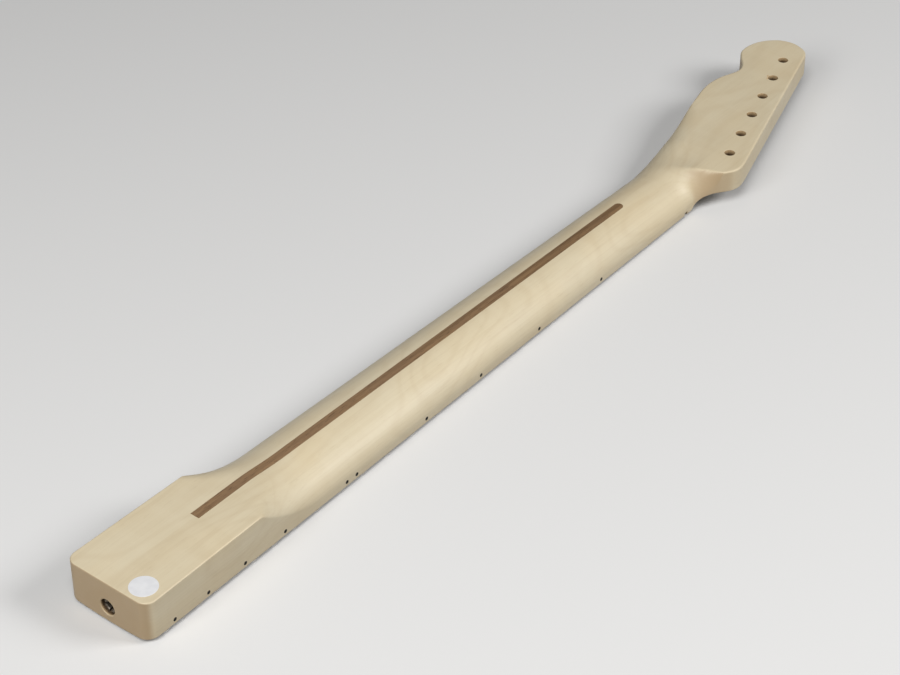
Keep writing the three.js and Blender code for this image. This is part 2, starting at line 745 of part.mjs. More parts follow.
// Blank round sticker, flush in a shallow spot-face so that the heel's seat stays flat
addPart('heel_sticker', cylinderAlongZ(
  stickerDiameter, blankThickness - stickerThickness, blankThickness,
  stickerFromEnd, -stickerFromCentre, boreSides,
), materials.paper);

export default neck;
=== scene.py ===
# Electric guitar neck lying on its frets with the back up, on a pale floor in soft studio light.
#
# Lengths are in millimetres and become metres where a mesh is made. Inside this file X starts at
# the heel end and heights start at the middle of the playing face; to_frame() moves points to
# the frame's origin, the centre of the heel's flat back.
import math

import bpy
import numpy as np
from mathutils import Matrix
from mathutils.geometry import delaunay_2d_cdt

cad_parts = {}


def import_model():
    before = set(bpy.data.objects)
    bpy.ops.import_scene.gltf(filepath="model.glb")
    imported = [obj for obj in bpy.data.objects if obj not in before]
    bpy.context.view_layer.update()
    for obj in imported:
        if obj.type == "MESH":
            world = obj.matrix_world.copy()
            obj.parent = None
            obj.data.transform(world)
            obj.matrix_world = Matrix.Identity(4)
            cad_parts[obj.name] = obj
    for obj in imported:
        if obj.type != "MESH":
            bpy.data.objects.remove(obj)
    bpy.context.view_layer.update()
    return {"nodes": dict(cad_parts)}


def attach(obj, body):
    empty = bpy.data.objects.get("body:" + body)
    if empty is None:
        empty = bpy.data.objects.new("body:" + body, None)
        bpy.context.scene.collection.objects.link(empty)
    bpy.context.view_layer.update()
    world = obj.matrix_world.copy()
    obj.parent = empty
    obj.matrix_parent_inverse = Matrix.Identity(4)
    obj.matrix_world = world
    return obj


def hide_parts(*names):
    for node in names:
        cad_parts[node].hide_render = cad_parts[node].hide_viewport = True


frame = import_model()

MM = 0.001

# Playing face
SCALE_LENGTH = 647.7
FRET_COUNT = 21
LAST_FRET_TO_HEEL_END = 12.36
NUT_WIDTH = 41.3
HEEL_WIDTH = 56.2
FACE_RADIUS = 241.3
FACE_EDGE_RADIUS = 0.6

# Blank, heel and shaft
BLANK_THICKNESS = 25.4
SEAT_CENTRE = 38.0
HEEL_CORNER_RADIUS = 6.8
HEEL_EDGE_RADIUS = 0.8
SIDE_HEIGHT_AT_HEEL = 6.0
SIDE_HEIGHT_AT_NUT = 4.0
SHAFT_THICKNESS_AT_HEEL = 24.1
SHAFT_THICKNESS_AT_NUT = 21.3
SHAFT_POWER_AT_HEEL = 1.9
SHAFT_POWER_AT_NUT = 1.88

# Carvings of the back, behind the heel and into the headstock
BASS_SEAT_LENGTH = 83.0
BASS_HEEL_CARVE_RADIUS = 79.4
TREBLE_SEAT_LENGTH = 82.6
TREBLE_HEEL_CARVE_RADIUS = 51.0
CROWN_CARVE_LENGTH = 45.0
CROWN_CARVE_RADIUS = 150.0
BASS_HEAD_CARVE_BEFORE_NUT = 1.5
BASS_HEAD_CARVE_RADIUS = 26.0
TREBLE_HEAD_CARVE_PAST_NUT = 10.0
TREBLE_HEAD_CARVE_RADIUS = 60.0
CARVE_BLEND_WIDTH = 20.0

# How softly their creases blend, and between which Y the headstock's crease fades out
BASS_HEEL_CREASE_SOFTNESS = 1.6
TREBLE_HEEL_CREASE_SOFTNESS = 4.0
BASS_HEAD_CREASE_SOFTNESS = 1.8
TREBLE_HEAD_CREASE_SOFTNESS = 3.6
HEAD_CREASE_FADES_FROM = -18.0
HEAD_CREASE_FADES_TO = 12.0

# Headstock
HEAD_LENGTH = 183.3
HEAD_WIDTH = 77.4
HEAD_THICKNESS = 14.3
HEAD_EDGE_RADIUS = 1.2
BALL_RADIUS = 25.6
FACE_STEP_RADIUS = 14.0
TREBLE_FADE_LENGTH = 88.0
TREBLE_DROP_POWER = 1.4
TREBLE_RUN_POWER = 0.62

# Nut slot and tuner holes
NUT_SLOT_WIDTH = 3.2
NUT_SLOT_SETBACK = 1.2
NUT_SLOT_DEPTH = 3.0
LEDGE_LENGTH = 8.5
TUNER_COUNT = 6
TUNER_HOLE_DIAMETER = 6.5
TUNER_RIM_RADIUS = 0.2
TUNER_PITCH = 24.02
TUNER_INSET = 11.9
LAST_TUNER_TO_TIP = 23.2

# Filler strip
STRIP_WIDTH = 5.8
STRIP_START = 63.0
STRIP_TO_NUT = 37.5
GLUE_GAP = 0.06

# Rod, its nut and bore at the heel, its anchor and plug at the headstock
ROD_DIAMETER = 4.76
ROD_DEPTH_AT_HEEL = 9.2
ROD_DEPTH_AT_NUT = 7.3
ROD_BOW = 4.2
ROD_CLEARANCE = 0.25
HEEL_BORE_DIAMETER = 9.5
HEEL_BORE_CHAMFER = 0.4
TRUSS_NUT_DIAMETER = 8.7
TRUSS_NUT_LENGTH = 12.0
TRUSS_NUT_RECESS = 1.8
TRUSS_NUT_CHAMFER = 0.45
TRUSS_SLOT_WIDTH = 1.3
TRUSS_SLOT_DEPTH = 2.4
WASHER_THICKNESS = 1.5
THREAD_GAP = 0.06
SEAT_GAP = 0.05
ANCHOR_BORE_DIAMETER = 7.0
ANCHOR_LENGTH = 10.0
ANCHOR_TO_NUT = 10.3

# Frets
FRET_CROWN_WIDTH = 2.4
FRET_CROWN_HEIGHT = 1.1
FRET_CROWN_WIDTH_POWER = 0.85
FRET_CROWN_HEIGHT_POWER = 0.9
FRET_TANG_WIDTH = 0.52
FRET_TANG_DEPTH = 1.6
FRET_SLOT_WIDTH = 0.62
FRET_SLOT_DEPTH = 1.8
FRET_SLOT_END_WALL = 1.4
FRET_END_INSET = 0.12
FRET_END_BEVEL = 0.7
FRET_END_HEIGHT_SHARE = 0.35

# Position dots
OCTAVE_FRET = 12
DOT_FRETS = (3, 5, 7, 9, 12, 15, 17, 19, 21)
SIDE_DOT_DIAMETER = 2.3
SIDE_DOT_DEPTH = 2.5
SIDE_DOT_ABOVE_EDGE = 2.8
SIDE_DOT_PAIR_SPACING = 8.0
FACE_DOT_DIAMETER = 6.35
FACE_DOT_DEPTH = 1.6
FACE_DOT_PAIR_SPACING = 25.4
DOT_GAP = 0.03

# Round sticker on the heel, standing a hair proud of the wood
STICKER_DIAMETER = 15.0
STICKER_THICKNESS = 0.1
STICKER_PROUD = 0.06
STICKER_EDGE = 0.03
STICKER_FROM_END = 10.0
STICKER_FROM_CENTRE = 16.5

# How far a cutting solid reaches past what it cuts
OVERRUN = 1.0

# Headstock outline, as shares of its length past the nut and of its width from the centre line
TREBLE_OUTLINE_SHARES = [
    (0.100, 0.265), (0.205, 0.262), (0.300, 0.295), (0.399, 0.350), (0.476, 0.395),
    (0.531, 0.425), (0.586, 0.437), (0.642, 0.420), (0.687, 0.383), (0.706, 0.369),
    (0.726, 0.365), (0.747, 0.378), (0.766, 0.401), (0.787, 0.442), (0.804, 0.473),
]
BALL_CENTRE_SHARE = (0.868, 0.194)
BALL_FROM_DEGREES = 104
BALL_TO_DEGREES = 28
BALL_STEPS = 5
TIP_OUTLINE_SHARES = [(1.000, 0.239), (0.992, 0.163), (0.977, 0.098), (0.954, 0.058)]
STRAIGHT_EDGE_SHARES = [(0.919, 0.032), (0.286, -0.4205)]
BASS_OUTLINE_SHARES = [
    (0.254, -0.444), (0.224, -0.464), (0.194, -0.474), (0.164, -0.460), (0.131, -0.412),
    (0.101, -0.358), (0.071, -0.300),
]

# Fineness of the meshes
OUTLINE_SAMPLES = 2400
HEAD_POINT_SPACING = 1.0
SHAFT_POINT_SPACING = 2.5
CORNER_STEPS = 14
EDGE_STEPS = 6
RING_GROWTH = 1.36
WIDEST_RING = 5.7
WALL_STEPS = 3
ROUND_SIDES = 48
CHANNEL_STEPS = 79
CHANNEL_END_STEPS = 13
CHANNEL_TIP_SHARE = 0.002
TUNER_RIM_STEPS = 5
BAR_STEPS = 40
FRET_CROWN_STEPS = 12
FRET_END_STEPS = 6
STICKER_SIDES = 96
STICKER_RIM_STEPS = 4
STICKER_RING_SHARES = (0.8, 0.4)

# Edges that turn by more degrees than this are shaded sharp
SHARP_DEGREES = 34
NECK_SHARP_DEGREES = 44

# Depth at which the shade painted into bored wood is darkest, and how much sooner it is in the heel's
# bore
BORED_PAINTED_SHADE_DEPTH = 3.6
BORE_PAINTED_SHADE_SOONER = 2.2


def lerp(a, b, share):
    return a + (b - a) * share


def smoothstep(value, low, high):
    share = np.clip((value - low) / (high - low), 0, 1)
    return share * share * (3 - 2 * share)


def quarter_turn(steps):
    return np.linspace(0, math.pi / 2, steps + 1)


# Places worked out from the sizes above
def fret_place(n):
    return SCALE_LENGTH * (1 - 2 ** (-n / 12))


BOARD_LENGTH = fret_place(FRET_COUNT) + LAST_FRET_TO_HEEL_END
TIP_X = BOARD_LENGTH + HEAD_LENGTH
STRIP_END = BOARD_LENGTH - STRIP_TO_NUT
HEAD_FACE_HEIGHT = BLANK_THICKNESS - HEAD_THICKNESS
LEDGE_END = BOARD_LENGTH + LEDGE_LENGTH
STEP_END = LEDGE_END + math.sqrt(FACE_STEP_RADIUS ** 2 - (FACE_STEP_RADIUS - HEAD_FACE_HEIGHT) ** 2)
HEEL_CARVE_DROP = BLANK_THICKNESS - SIDE_HEIGHT_AT_HEEL
BASS_HEEL_CARVE_END = BASS_SEAT_LENGTH + math.sqrt(
    HEEL_CARVE_DROP * (2 * BASS_HEEL_CARVE_RADIUS - HEEL_CARVE_DROP))
TREBLE_HEEL_CARVE_END = TREBLE_SEAT_LENGTH + math.sqrt(
    HEEL_CARVE_DROP * (2 * TREBLE_HEEL_CARVE_RADIUS - HEEL_CARVE_DROP))
CROWN_CARVE_END = BASS_SEAT_LENGTH + CROWN_CARVE_LENGTH
BASS_HEAD_CARVE_START = BOARD_LENGTH - BASS_HEAD_CARVE_BEFORE_NUT
TREBLE_HEAD_CARVE_START = BOARD_LENGTH + TREBLE_HEAD_CARVE_PAST_NUT
SHOULDER_X = TRUSS_NUT_RECESS + TRUSS_NUT_LENGTH + WASHER_THICKNESS + 2 * SEAT_GAP
ANCHOR_X = BOARD_LENGTH - ANCHOR_TO_NUT
ANCHOR_END = ANCHOR_X + SEAT_GAP + ANCHOR_LENGTH
ANCHOR_BORE_END = STEP_END + ANCHOR_BORE_DIAMETER


def fret_x(n):
    return BOARD_LENGTH - fret_place(n)


def half_width(x):
    return lerp(HEEL_WIDTH, NUT_WIDTH, x / BOARD_LENGTH) / 2


# Plan outline of the headstock
def head_point(share):
    return (BOARD_LENGTH + share[0] * HEAD_LENGTH, share[1] * HEAD_WIDTH)


def catmull_rom(points, samples):
    """Centripetal Catmull-Rom curve through the points."""
    points = np.array(points)
    ends = [2 * points[0] - points[1], 2 * points[-1] - points[-2]]
    knots = np.vstack([ends[0], points, ends[1]])
    place = np.linspace(0, len(points) - 1, samples + 1)
    i = np.minimum(place.astype(int), len(points) - 2)
    w = (place - i)[:, None]
    p0, p1, p2, p3 = (knots[i + k] for k in range(4))
    d0, d1, d2 = (np.sqrt(np.linalg.norm(b - a, axis=1))[:, None]
                  for a, b in ((p0, p1), (p1, p2), (p2, p3)))
    t1 = ((p1 - p0) / d0 - (p2 - p0) / (d0 + d1) + (p2 - p1) / d1) * d1
    t2 = ((p2 - p1) / d1 - (p3 - p1) / (d1 + d2) + (p3 - p2) / d2) * d1
    return (p1 + t1 * w + (3 * (p2 - p1) - 2 * t1 - t2) * w ** 2
            + (2 * (p1 - p2) + t1 + t2) * w ** 3)


def head_outline():
    """Curve from the nut's treble end round the headstock to the nut's bass end."""
    centre_x, centre_y = head_point(BALL_CENTRE_SHARE)
    angles = np.radians(np.linspace(BALL_FROM_DEGREES, BALL_TO_DEGREES, BALL_STEPS + 1))
    ball = [(centre_x + BALL_RADIUS * math.cos(angle), centre_y + BALL_RADIUS * math.sin(angle))
            for angle in angles]
    past_ball = TIP_OUTLINE_SHARES + STRAIGHT_EDGE_SHARES + BASS_OUTLINE_SHARES
    points = [(BOARD_LENGTH, NUT_WIDTH / 2), (LEDGE_END, NUT_WIDTH / 2)]
    points += [head_point(share) for share in TREBLE_OUTLINE_SHARES] + ball
    points += [head_point(share) for share in past_ball]
    points += [(LEDGE_END, -NUT_WIDTH / 2), (BOARD_LENGTH, -NUT_WIDTH / 2)]
    return catmull_rom(points, OUTLINE_SAMPLES)


HEAD_OUTLINE = head_outline()
TIP_INDEX = int(np.argmax(HEAD_OUTLINE[:, 0]))
TREBLE_LINE = HEAD_OUTLINE[:TIP_INDEX + 1]
BASS_LINE = HEAD_OUTLINE[TIP_INDEX:][::-1]


def head_side(line, x):
    """Y of one side of the headstock at each x, and the cosine of its slope there."""
    least_run = 1e-9
    run = np.maximum(np.diff(line[:, 0]), least_run)
    cosine = run / np.hypot(run, np.diff(line[:, 1]))
    i = np.clip(np.searchsorted(line[:, 0], x), 1, len(line) - 1)
    return np.interp(x, line[:, 0], line[:, 1]), cosine[i - 1]


def sides_at(x):
    """(treble y, treble cosine, bass y, bass cosine) at each x."""
    in_corner = HEEL_CORNER_RADIUS - np.clip(x, 0, HEEL_CORNER_RADIUS)
    cut_back = HEEL_CORNER_RADIUS - np.sqrt(HEEL_CORNER_RADIUS ** 2 - in_corner ** 2)
    y = half_width(x) - cut_back
    cosine = np.sqrt(1 - (in_corner / HEEL_CORNER_RADIUS) ** 2)
    on_head = x > BOARD_LENGTH
    treble_y, treble_cosine = head_side(TREBLE_LINE, x)
    bass_y, bass_cosine = head_side(BASS_LINE, x)
    return (np.where(on_head, treble_y, y), np.where(on_head, treble_cosine, cosine),
            np.where(on_head, bass_y, -y), np.where(on_head, bass_cosine, cosine))


# Surface of the neck: height of the playing face and of the back at any place in plan
def soft_min(a, b, softness):
    """The lesser of two heights, blended where they differ by less than the softness."""
    near = np.maximum(softness - np.abs(a - b), 0) / softness
    return np.minimum(a, b) - near ** 2 * softness / 4


def roundness(share, power):
    """Quarter of a superellipse, from 0 at the edge to 1 where the share is 1."""
    return (1 - (1 - np.clip(share, 0, 1)) ** power) ** (1 / power)


def arc_lift(run, radius):
    """Rise of an arc that starts level, after a run along it."""
    along = np.clip(run, 0, radius)
    return radius - np.sqrt(radius ** 2 - along ** 2)


def edge_drop(inset, radius):
    """Drop of a rounded edge at an inset from the side."""
    along = radius - np.clip(inset, 0, radius)
    return radius - np.sqrt(radius ** 2 - along ** 2)


def face_crown(y):
    return FACE_RADIUS - np.sqrt(FACE_RADIUS ** 2 - y ** 2)


def face_height(x, y):
    """Height of the playing face, and past the ledge behind the nut of the headstock's front."""
    crown = face_crown(y)
    from_step_end = np.clip(STEP_END - x, 0, FACE_STEP_RADIUS)
    step = HEAD_FACE_HEIGHT - FACE_STEP_RADIUS + np.sqrt(FACE_STEP_RADIUS ** 2 - from_step_end ** 2)
    return np.where(x <= LEDGE_END, crown, np.minimum(np.maximum(step, crown), HEAD_FACE_HEIGHT))


def back_height(x, y):
    """Height of the back. The carving into the headstock runs along a crease on the bass side,
    which fades out towards the treble side."""
    bass = carved_height(x, y, arc_lift(x - BASS_HEAD_CARVE_START, BASS_HEAD_CARVE_RADIUS),
                         BASS_HEAD_CREASE_SOFTNESS)
    treble = carved_height(x, y, arc_lift(x - TREBLE_HEAD_CARVE_START, TREBLE_HEAD_CARVE_RADIUS),
                           TREBLE_HEAD_CREASE_SOFTNESS)
    return lerp(bass, treble, smoothstep(y, HEAD_CREASE_FADES_FROM, HEAD_CREASE_FADES_TO))


def carved_height(x, y, head_lift, head_softness):
    """Height of the back, with one lift and one softness where the headstock starts."""
    treble_y, treble_cosine, bass_y, bass_cosine = sides_at(x)
    on_head = x > BOARD_LENGTH
    along = np.clip((x - BASS_HEEL_CARVE_END) / (BASS_HEAD_CARVE_START - BASS_HEEL_CARVE_END), 0, 1)
    thickness = lerp(SHAFT_THICKNESS_AT_HEEL, SHAFT_THICKNESS_AT_NUT, along)
    power = lerp(SHAFT_POWER_AT_HEEL, SHAFT_POWER_AT_NUT, along)
    heel_softness = lerp(BASS_HEEL_CREASE_SOFTNESS, TREBLE_HEEL_CREASE_SOFTNESS,
                         smoothstep(y, 0, half_width(x)))
    softness = np.where(x > STRIP_END, head_softness, heel_softness)
    heel_lift = lerp(arc_lift(BASS_HEEL_CARVE_END - x, BASS_HEEL_CARVE_RADIUS),
                     arc_lift(TREBLE_HEEL_CARVE_END - x, TREBLE_HEEL_CARVE_RADIUS),
                     smoothstep(y, -CARVE_BLEND_WIDTH / 2, CARVE_BLEND_WIDTH / 2))
    crown = thickness + arc_lift(CROWN_CARVE_END - x, CROWN_CARVE_RADIUS) + head_lift
    side = lerp(SIDE_HEIGHT_AT_HEEL, SIDE_HEIGHT_AT_NUT, along) + heel_lift + head_lift
    rise = crown - side
    run = np.where(on_head, NUT_WIDTH / 2, half_width(x))
    fade = np.where(on_head, 1 - np.clip((x - BOARD_LENGTH) / TREBLE_FADE_LENGTH, 0, 1), 1)
    treble_run = np.maximum(run * fade ** TREBLE_RUN_POWER, HEAD_EDGE_RADIUS)
    treble_share = (treble_y - y) * treble_cosine / treble_run
    bass_share = np.where(on_head, 1 - y / bass_y, (y - bass_y) * bass_cosine / run)
    treble_drop = rise * fade ** TREBLE_DROP_POWER * (1 - roundness(treble_share, power))
    bass = crown - rise * (1 - roundness(bass_share, power))
    on_shaft = soft_min(BLANK_THICKNESS, np.minimum(bass, crown - treble_drop), softness)
    past_nut = np.minimum(soft_min(BLANK_THICKNESS, bass, softness),
                          soft_min(BLANK_THICKNESS, crown, softness) - treble_drop)
    return np.where(on_head, past_nut, on_shaft)


# Making meshes
def to_frame(points):
    points = np.asarray(points, float)
    return (points - (SEAT_CENTRE, 0, BLANK_THICKNESS)) * MM


def add_object(name, data):
    piece = bpy.data.objects.new(name, data)
    bpy.context.scene.collection.objects.link(piece)
    return piece


def new_piece(name, points, faces):
    """Mesh object from points in millimetres."""
    mesh = bpy.data.meshes.new(name)
    mesh.from_pydata(to_frame(points).tolist(), [], [list(map(int, face)) for face in faces])
    mesh.validate()
    return add_object(name, mesh)


def discard(piece):
    mesh = piece.data
    bpy.data.objects.remove(piece)
    bpy.data.meshes.remove(mesh)


def shade(piece, degrees=SHARP_DEGREES):
    mesh = piece.data
    mesh.polygons.foreach_set("use_smooth", [True] * len(mesh.polygons))
    mesh.set_sharp_from_angle(angle=math.radians(degrees))
    mesh.update()


def loft(rows, close_ends=True):
    """Solid through rows of points, each a ring seen the same way round: (points, faces)."""
    count = len(rows[0])
    points = np.concatenate([np.asarray(row, float) for row in rows])
    faces = []
    for i in range(len(rows) - 1):
        for k in range(count):
            a, b = i * count + k, i * count + (k + 1) % count
            faces.append((a, b, b + count, a + count))
    if close_ends:
        last = (len(rows) - 1) * count
        faces.append(tuple(range(count))[::-1])
        faces.append(tuple(last + k for k in range(count)))
    return points, faces


def lathe_along(axis, centre, profile, sides=ROUND_SIDES):
    """Solid of revolution: the profile is (distance along the axis, radius) from end to end."""
    turn = 2 * np.pi * np.arange(sides) / sides
    rows = []
    for along, radius in profile:
        ring = np.zeros((sides, 3))
        ring[:, axis] = along
        ring[:, (axis + 1) % 3] = centre[(axis + 1) % 3] + radius * np.cos(turn)
        ring[:, (axis + 2) % 3] = centre[(axis + 2) % 3] + radius * np.sin(turn)
        rows.append(ring)
    return loft(rows)


def cylinder(axis, centre, start, end, radius):
    return lathe_along(axis, centre, [(start, radius), (end, radius)])


def box_between(low, high):
    ring = [(low[1], low[2]), (high[1], low[2]), (high[1], high[2]), (low[1], high[2])]
    return loft([[(x, y, z) for y, z in ring] for x in (low[0], high[0])])


def joined(solids):
    """Several solids that don't touch, as one."""
    points, faces, start = [], [], 0
    for solid_points, solid_faces in solids:
        points.append(solid_points)
        faces += [tuple(start + k for k in face) for face in solid_faces]
        start += len(solid_points)
    return np.concatenate(points), faces


def combine(piece, solid, operation):
    """Cuts the solid out of the piece, adds it, or keeps only what they share."""
    tool = new_piece("tool", *solid)
    step = piece.modifiers.new("combine", "BOOLEAN")
    step.operation = operation
    step.solver = "MANIFOLD"
    step.object = tool
    graph = bpy.context.evaluated_depsgraph_get()
    mesh = bpy.data.meshes.new_from_object(piece.evaluated_get(graph))
    piece.modifiers.remove(step)
    old = piece.data
    piece.data = mesh
    mesh.name = piece.name
    bpy.data.meshes.remove(old)
    discard(tool)


def copy_of(piece, name):
    copy = piece.copy()
    copy.data = piece.data.copy()
    copy.name = name
    bpy.context.scene.collection.objects.link(copy)
    return copy


# Neck blank: rings of points that follow the plan outline inwards, then a grid inside them
def evenly(line, spacing):
    """The polyline's points again, at even distances along it."""
    length = np.concatenate([[0], np.cumsum(np.linalg.norm(np.diff(line, axis=0), axis=1))])
    count = max(int(round(length[-1] / spacing)), 1)
    place = np.linspace(0, length[-1], count + 1)
    return np.stack([np.interp(place, length, line[:, k]) for k in range(2)], axis=1)


def plan_outline():
    """Closed outline of the neck in plan, anticlockwise seen from the back."""
    turn = quarter_turn(CORNER_STEPS)
    corner_x = HEEL_CORNER_RADIUS * (1 - np.cos(turn))
    corner_y = half_width(corner_x) - HEEL_CORNER_RADIUS * (1 - np.sin(turn))
    past_corner = np.array([[HEEL_CORNER_RADIUS, 0], [BOARD_LENGTH, 0]])
    shaft_x = evenly(past_corner, SHAFT_POINT_SPACING)[1:-1, 0]
    side = np.stack([np.concatenate([corner_x, shaft_x]),
                     np.concatenate([corner_y, half_width(shaft_x)])], axis=1)
    head = evenly(HEAD_OUTLINE[::-1], HEAD_POINT_SPACING)
    end = evenly(np.array([side[0], side[0] * (1, -1)]), SHAFT_POINT_SPACING)[1:-1]
    return np.concatenate([side * (1, -1), head, side[::-1], end])


def ring_insets():
    """Distance of each ring from the outline: fine over the rounded edge, then ever wider."""
    insets = (HEAD_EDGE_RADIUS * (1 - np.cos(quarter_turn(EDGE_STEPS)))).tolist()
    while insets[-1] * RING_GROWTH < WIDEST_RING:
        insets.append(insets[-1] * RING_GROWTH)
    return insets


def grid_points(zones, outline, inset):
    """Points of a staggered grid over each zone, well inside the inset from the outline."""
    points = []
    for from_x, to_x, step_x, step_y in zones:
        count = max(int(round((to_x - from_x) / step_x)), 1)
        for i in range(count):
            x = lerp(from_x, to_x, i / count)
            y = np.arange(-HEAD_WIDTH + step_y / 2 * (i % 2), HEAD_WIDTH, step_y)
            treble_y, _, bass_y, _ = sides_at(np.full_like(y, x))
            y = y[(y < treble_y) & (y > bass_y)]
            gap = [np.min(np.hypot(outline[:, 0] - x, outline[:, 1] - place)) for place in y]
            points += [(x, place) for place, far in zip(y, gap) if far > inset + step_y / 2]
    return points


def fill(ring, grid):
    """Triangles over the area inside the ring: (points, triangles), with the ring's points first."""
    inside_only, merge_distance = 1, 1e-5
    points = [tuple(p) for p in ring] + grid
    count = len(ring)
    edges = [(i, (i + 1) % count) for i in range(count)]
    _, _, triangles, came_from, _, _ = delaunay_2d_cdt(points, edges, [], inside_only, merge_distance)
    source = [ids[0] for ids in came_from]
    return points, [[source[k] for k in triangle] for triangle in triangles]


# Zones of the grid: (from x, to x, step x, step y), finer where the surface bends
BACK_ZONES = [
    (2, 60, 5, 5),
    (60, 140, 1.4, 1.4),
    (140, 428, 4, 1.8),
    (428, 462, 1.1, 1.1),
    (462, 500, 0.55, 0.55),
    (500, 570, 1.2, 1.2),
    (570, 651, 5, 5),
]
FACE_ZONES = [
    (2, 440, 8, 4),
    (440, LEDGE_END, 4, 3),
    (LEDGE_END, LEDGE_END + 2, 0.25, 3),
    (LEDGE_END + 2, STEP_END + 1, 1.2, 3),
    (STEP_END + 1, 651, 6, 6),
]


def neck_solid():
    """The whole neck with nothing cut: rings over face, walls and back, and the two fills."""
    outline = plan_outline()
    along = np.roll(outline, -1, axis=0) - np.roll(outline, 1, axis=0)
    along /= np.linalg.norm(along, axis=1)[:, None]
    inward = np.stack([-along[:, 1], along[:, 0]], axis=1)
    insets = ring_insets()
    rings = [outline + inward * inset for inset in insets]
    count = len(outline)

    def back_ring(ring, inset):
        x, y = ring.T
        radius = np.where(x > BOARD_LENGTH, HEAD_EDGE_RADIUS, HEEL_EDGE_RADIUS)
        z = np.minimum(back_height(x, y), BLANK_THICKNESS - edge_drop(inset, radius))
        return np.stack([x, y, z], axis=1)

    def face_ring(ring, inset):
        x, y = ring.T
        z = face_height(x, y) + edge_drop(inset, FACE_EDGE_RADIUS)
        return np.stack([x, y, z], axis=1)

    back = [back_ring(ring, inset) for ring, inset in zip(rings, insets)]
    face = [face_ring(ring, inset) for ring, inset in zip(rings, insets)]
    wall = [lerp(face[0], back[0], i / WALL_STEPS) for i in range(1, WALL_STEPS)]
    rows = face[::-1] + wall + back
    points, faces = loft(rows, close_ends=False)
    points = list(points)

    for zones, height, flip in ((BACK_ZONES, back_height, False), (FACE_ZONES, face_height, True)):
        first = 0 if flip else (len(rows) - 1) * count
        plan, triangles = fill(rings[-1], grid_points(zones, outline, insets[-1]))
        inner = np.array(plan[count:])
        start = len(points)
        points += list(np.column_stack([inner, height(inner[:, 0], inner[:, 1])]))
        for triangle in triangles:
            ids = [first + k if k < count else start + k - count for k in triangle]
            faces.append(tuple(ids[::-1] if flip else ids))
    return np.array(points), faces


# Rod path, and everything that is cut into the neck
def rod_height(x):
    share = np.clip((x - STRIP_START) / (STRIP_END - STRIP_START), 0, 1)
    line = lerp(ROD_DEPTH_AT_HEEL, ROD_DEPTH_AT_NUT, smoothstep(share, 0, 1))
    return line + ROD_BOW * np.sin(math.pi * share) ** 2


def channel(gap, floor_above_rod):
    """Prism along the back, square at the heel and round towards the headstock."""
    half = STRIP_WIDTH / 2 - gap
    start, end = STRIP_START + gap, STRIP_END - gap
    turn = quarter_turn(CHANNEL_END_STEPS)[:-1]
    places = np.concatenate([np.linspace(start, end - half, CHANNEL_STEPS + 1)[:-1],
                             end - half + half * np.sin(turn), [end - half * CHANNEL_TIP_SHARE]])
    top = BLANK_THICKNESS + OVERRUN
    rows = []
    for x in places:
        past = max(x - (end - half), 0)
        wide = math.sqrt(max(half ** 2 - past ** 2, 0))
        floor = float(rod_height(x)) + floor_above_rod
        rows.append([(x, -wide, floor), (x, wide, floor), (x, wide, top), (x, -wide, top)])
    return loft(rows)


def rod_cylinder(diameter, from_x, to_x, height):
    return cylinder(0, (0, 0, height), from_x, to_x, diameter / 2)


def heel_bore():
    radius = HEEL_BORE_DIAMETER / 2
    wide = radius + HEEL_BORE_CHAMFER
    profile = [(-OVERRUN, wide), (0, wide), (HEEL_BORE_CHAMFER, radius), (SHOULDER_X, radius)]
    return lathe_along(0, (0, 0, ROD_DEPTH_AT_HEEL), profile)


def tuner_places():
    start, end = (np.array(head_point(share)) for share in STRAIGHT_EDGE_SHARES)
    along = (end - start) / np.linalg.norm(end - start)
    row = start + np.array([along[1], -along[0]]) * TUNER_INSET
    to_last = (TIP_X - LAST_TUNER_TO_TIP - row[0]) / along[0]
    return [row + along * (to_last + i * TUNER_PITCH) for i in range(TUNER_COUNT)]


def tuner_hole(place):
    """Hole with softly rounded rims at the back and at the front."""
    radius = TUNER_HOLE_DIAMETER / 2
    rim = [(TUNER_RIM_RADIUS * (1 - math.cos(turn)), radius + TUNER_RIM_RADIUS * (1 - math.sin(turn)))
           for turn in quarter_turn(TUNER_RIM_STEPS)]
    mouth = radius + TUNER_RIM_RADIUS
    profile = [(HEAD_FACE_HEIGHT - OVERRUN, mouth)]
    profile += [(HEAD_FACE_HEIGHT + depth, wide) for depth, wide in rim]
    profile += [(BLANK_THICKNESS - depth, wide) for depth, wide in rim[::-1]]
    profile += [(BLANK_THICKNESS + OVERRUN, mouth)]
    return lathe_along(2, (place[0], place[1], 0), profile)


def bent_bar(x, half_length, profile, heights=((0, 1),)):
    """Bar that follows the playing face's curve. A profile point is (along X, out of the face);
    heights are (distance from the end, share of the full height)."""
    inner = half_length - heights[-1][0]
    middle = [(y, 1) for y in np.linspace(-inner, inner, BAR_STEPS + 1)]
    ends = [(half_length - distance, share) for distance, share in heights[:-1]]
    rows = [(-y, share) for y, share in ends] + middle + ends[::-1]
    bar = []
    for y, share in rows:
        angle = math.asin(y / FACE_RADIUS)
        radii = [FACE_RADIUS + (out * share if out > 0 else out) for _, out in profile]
        bar.append([(x + across, r * math.sin(angle), FACE_RADIUS - r * math.cos(angle))
                    for (across, _), r in zip(profile, radii)])
    return loft(bar)


def fret_slot(n):
    half = FRET_SLOT_WIDTH / 2
    profile = [(half, OVERRUN), (-half, OVERRUN), (-half, -FRET_SLOT_DEPTH), (half, -FRET_SLOT_DEPTH)]
    x = fret_x(n)
    return bent_bar(x, half_width(x) - FRET_SLOT_END_WALL, profile)


def dot_x(n):
    return (fret_x(n) + fret_x(n - 1)) / 2


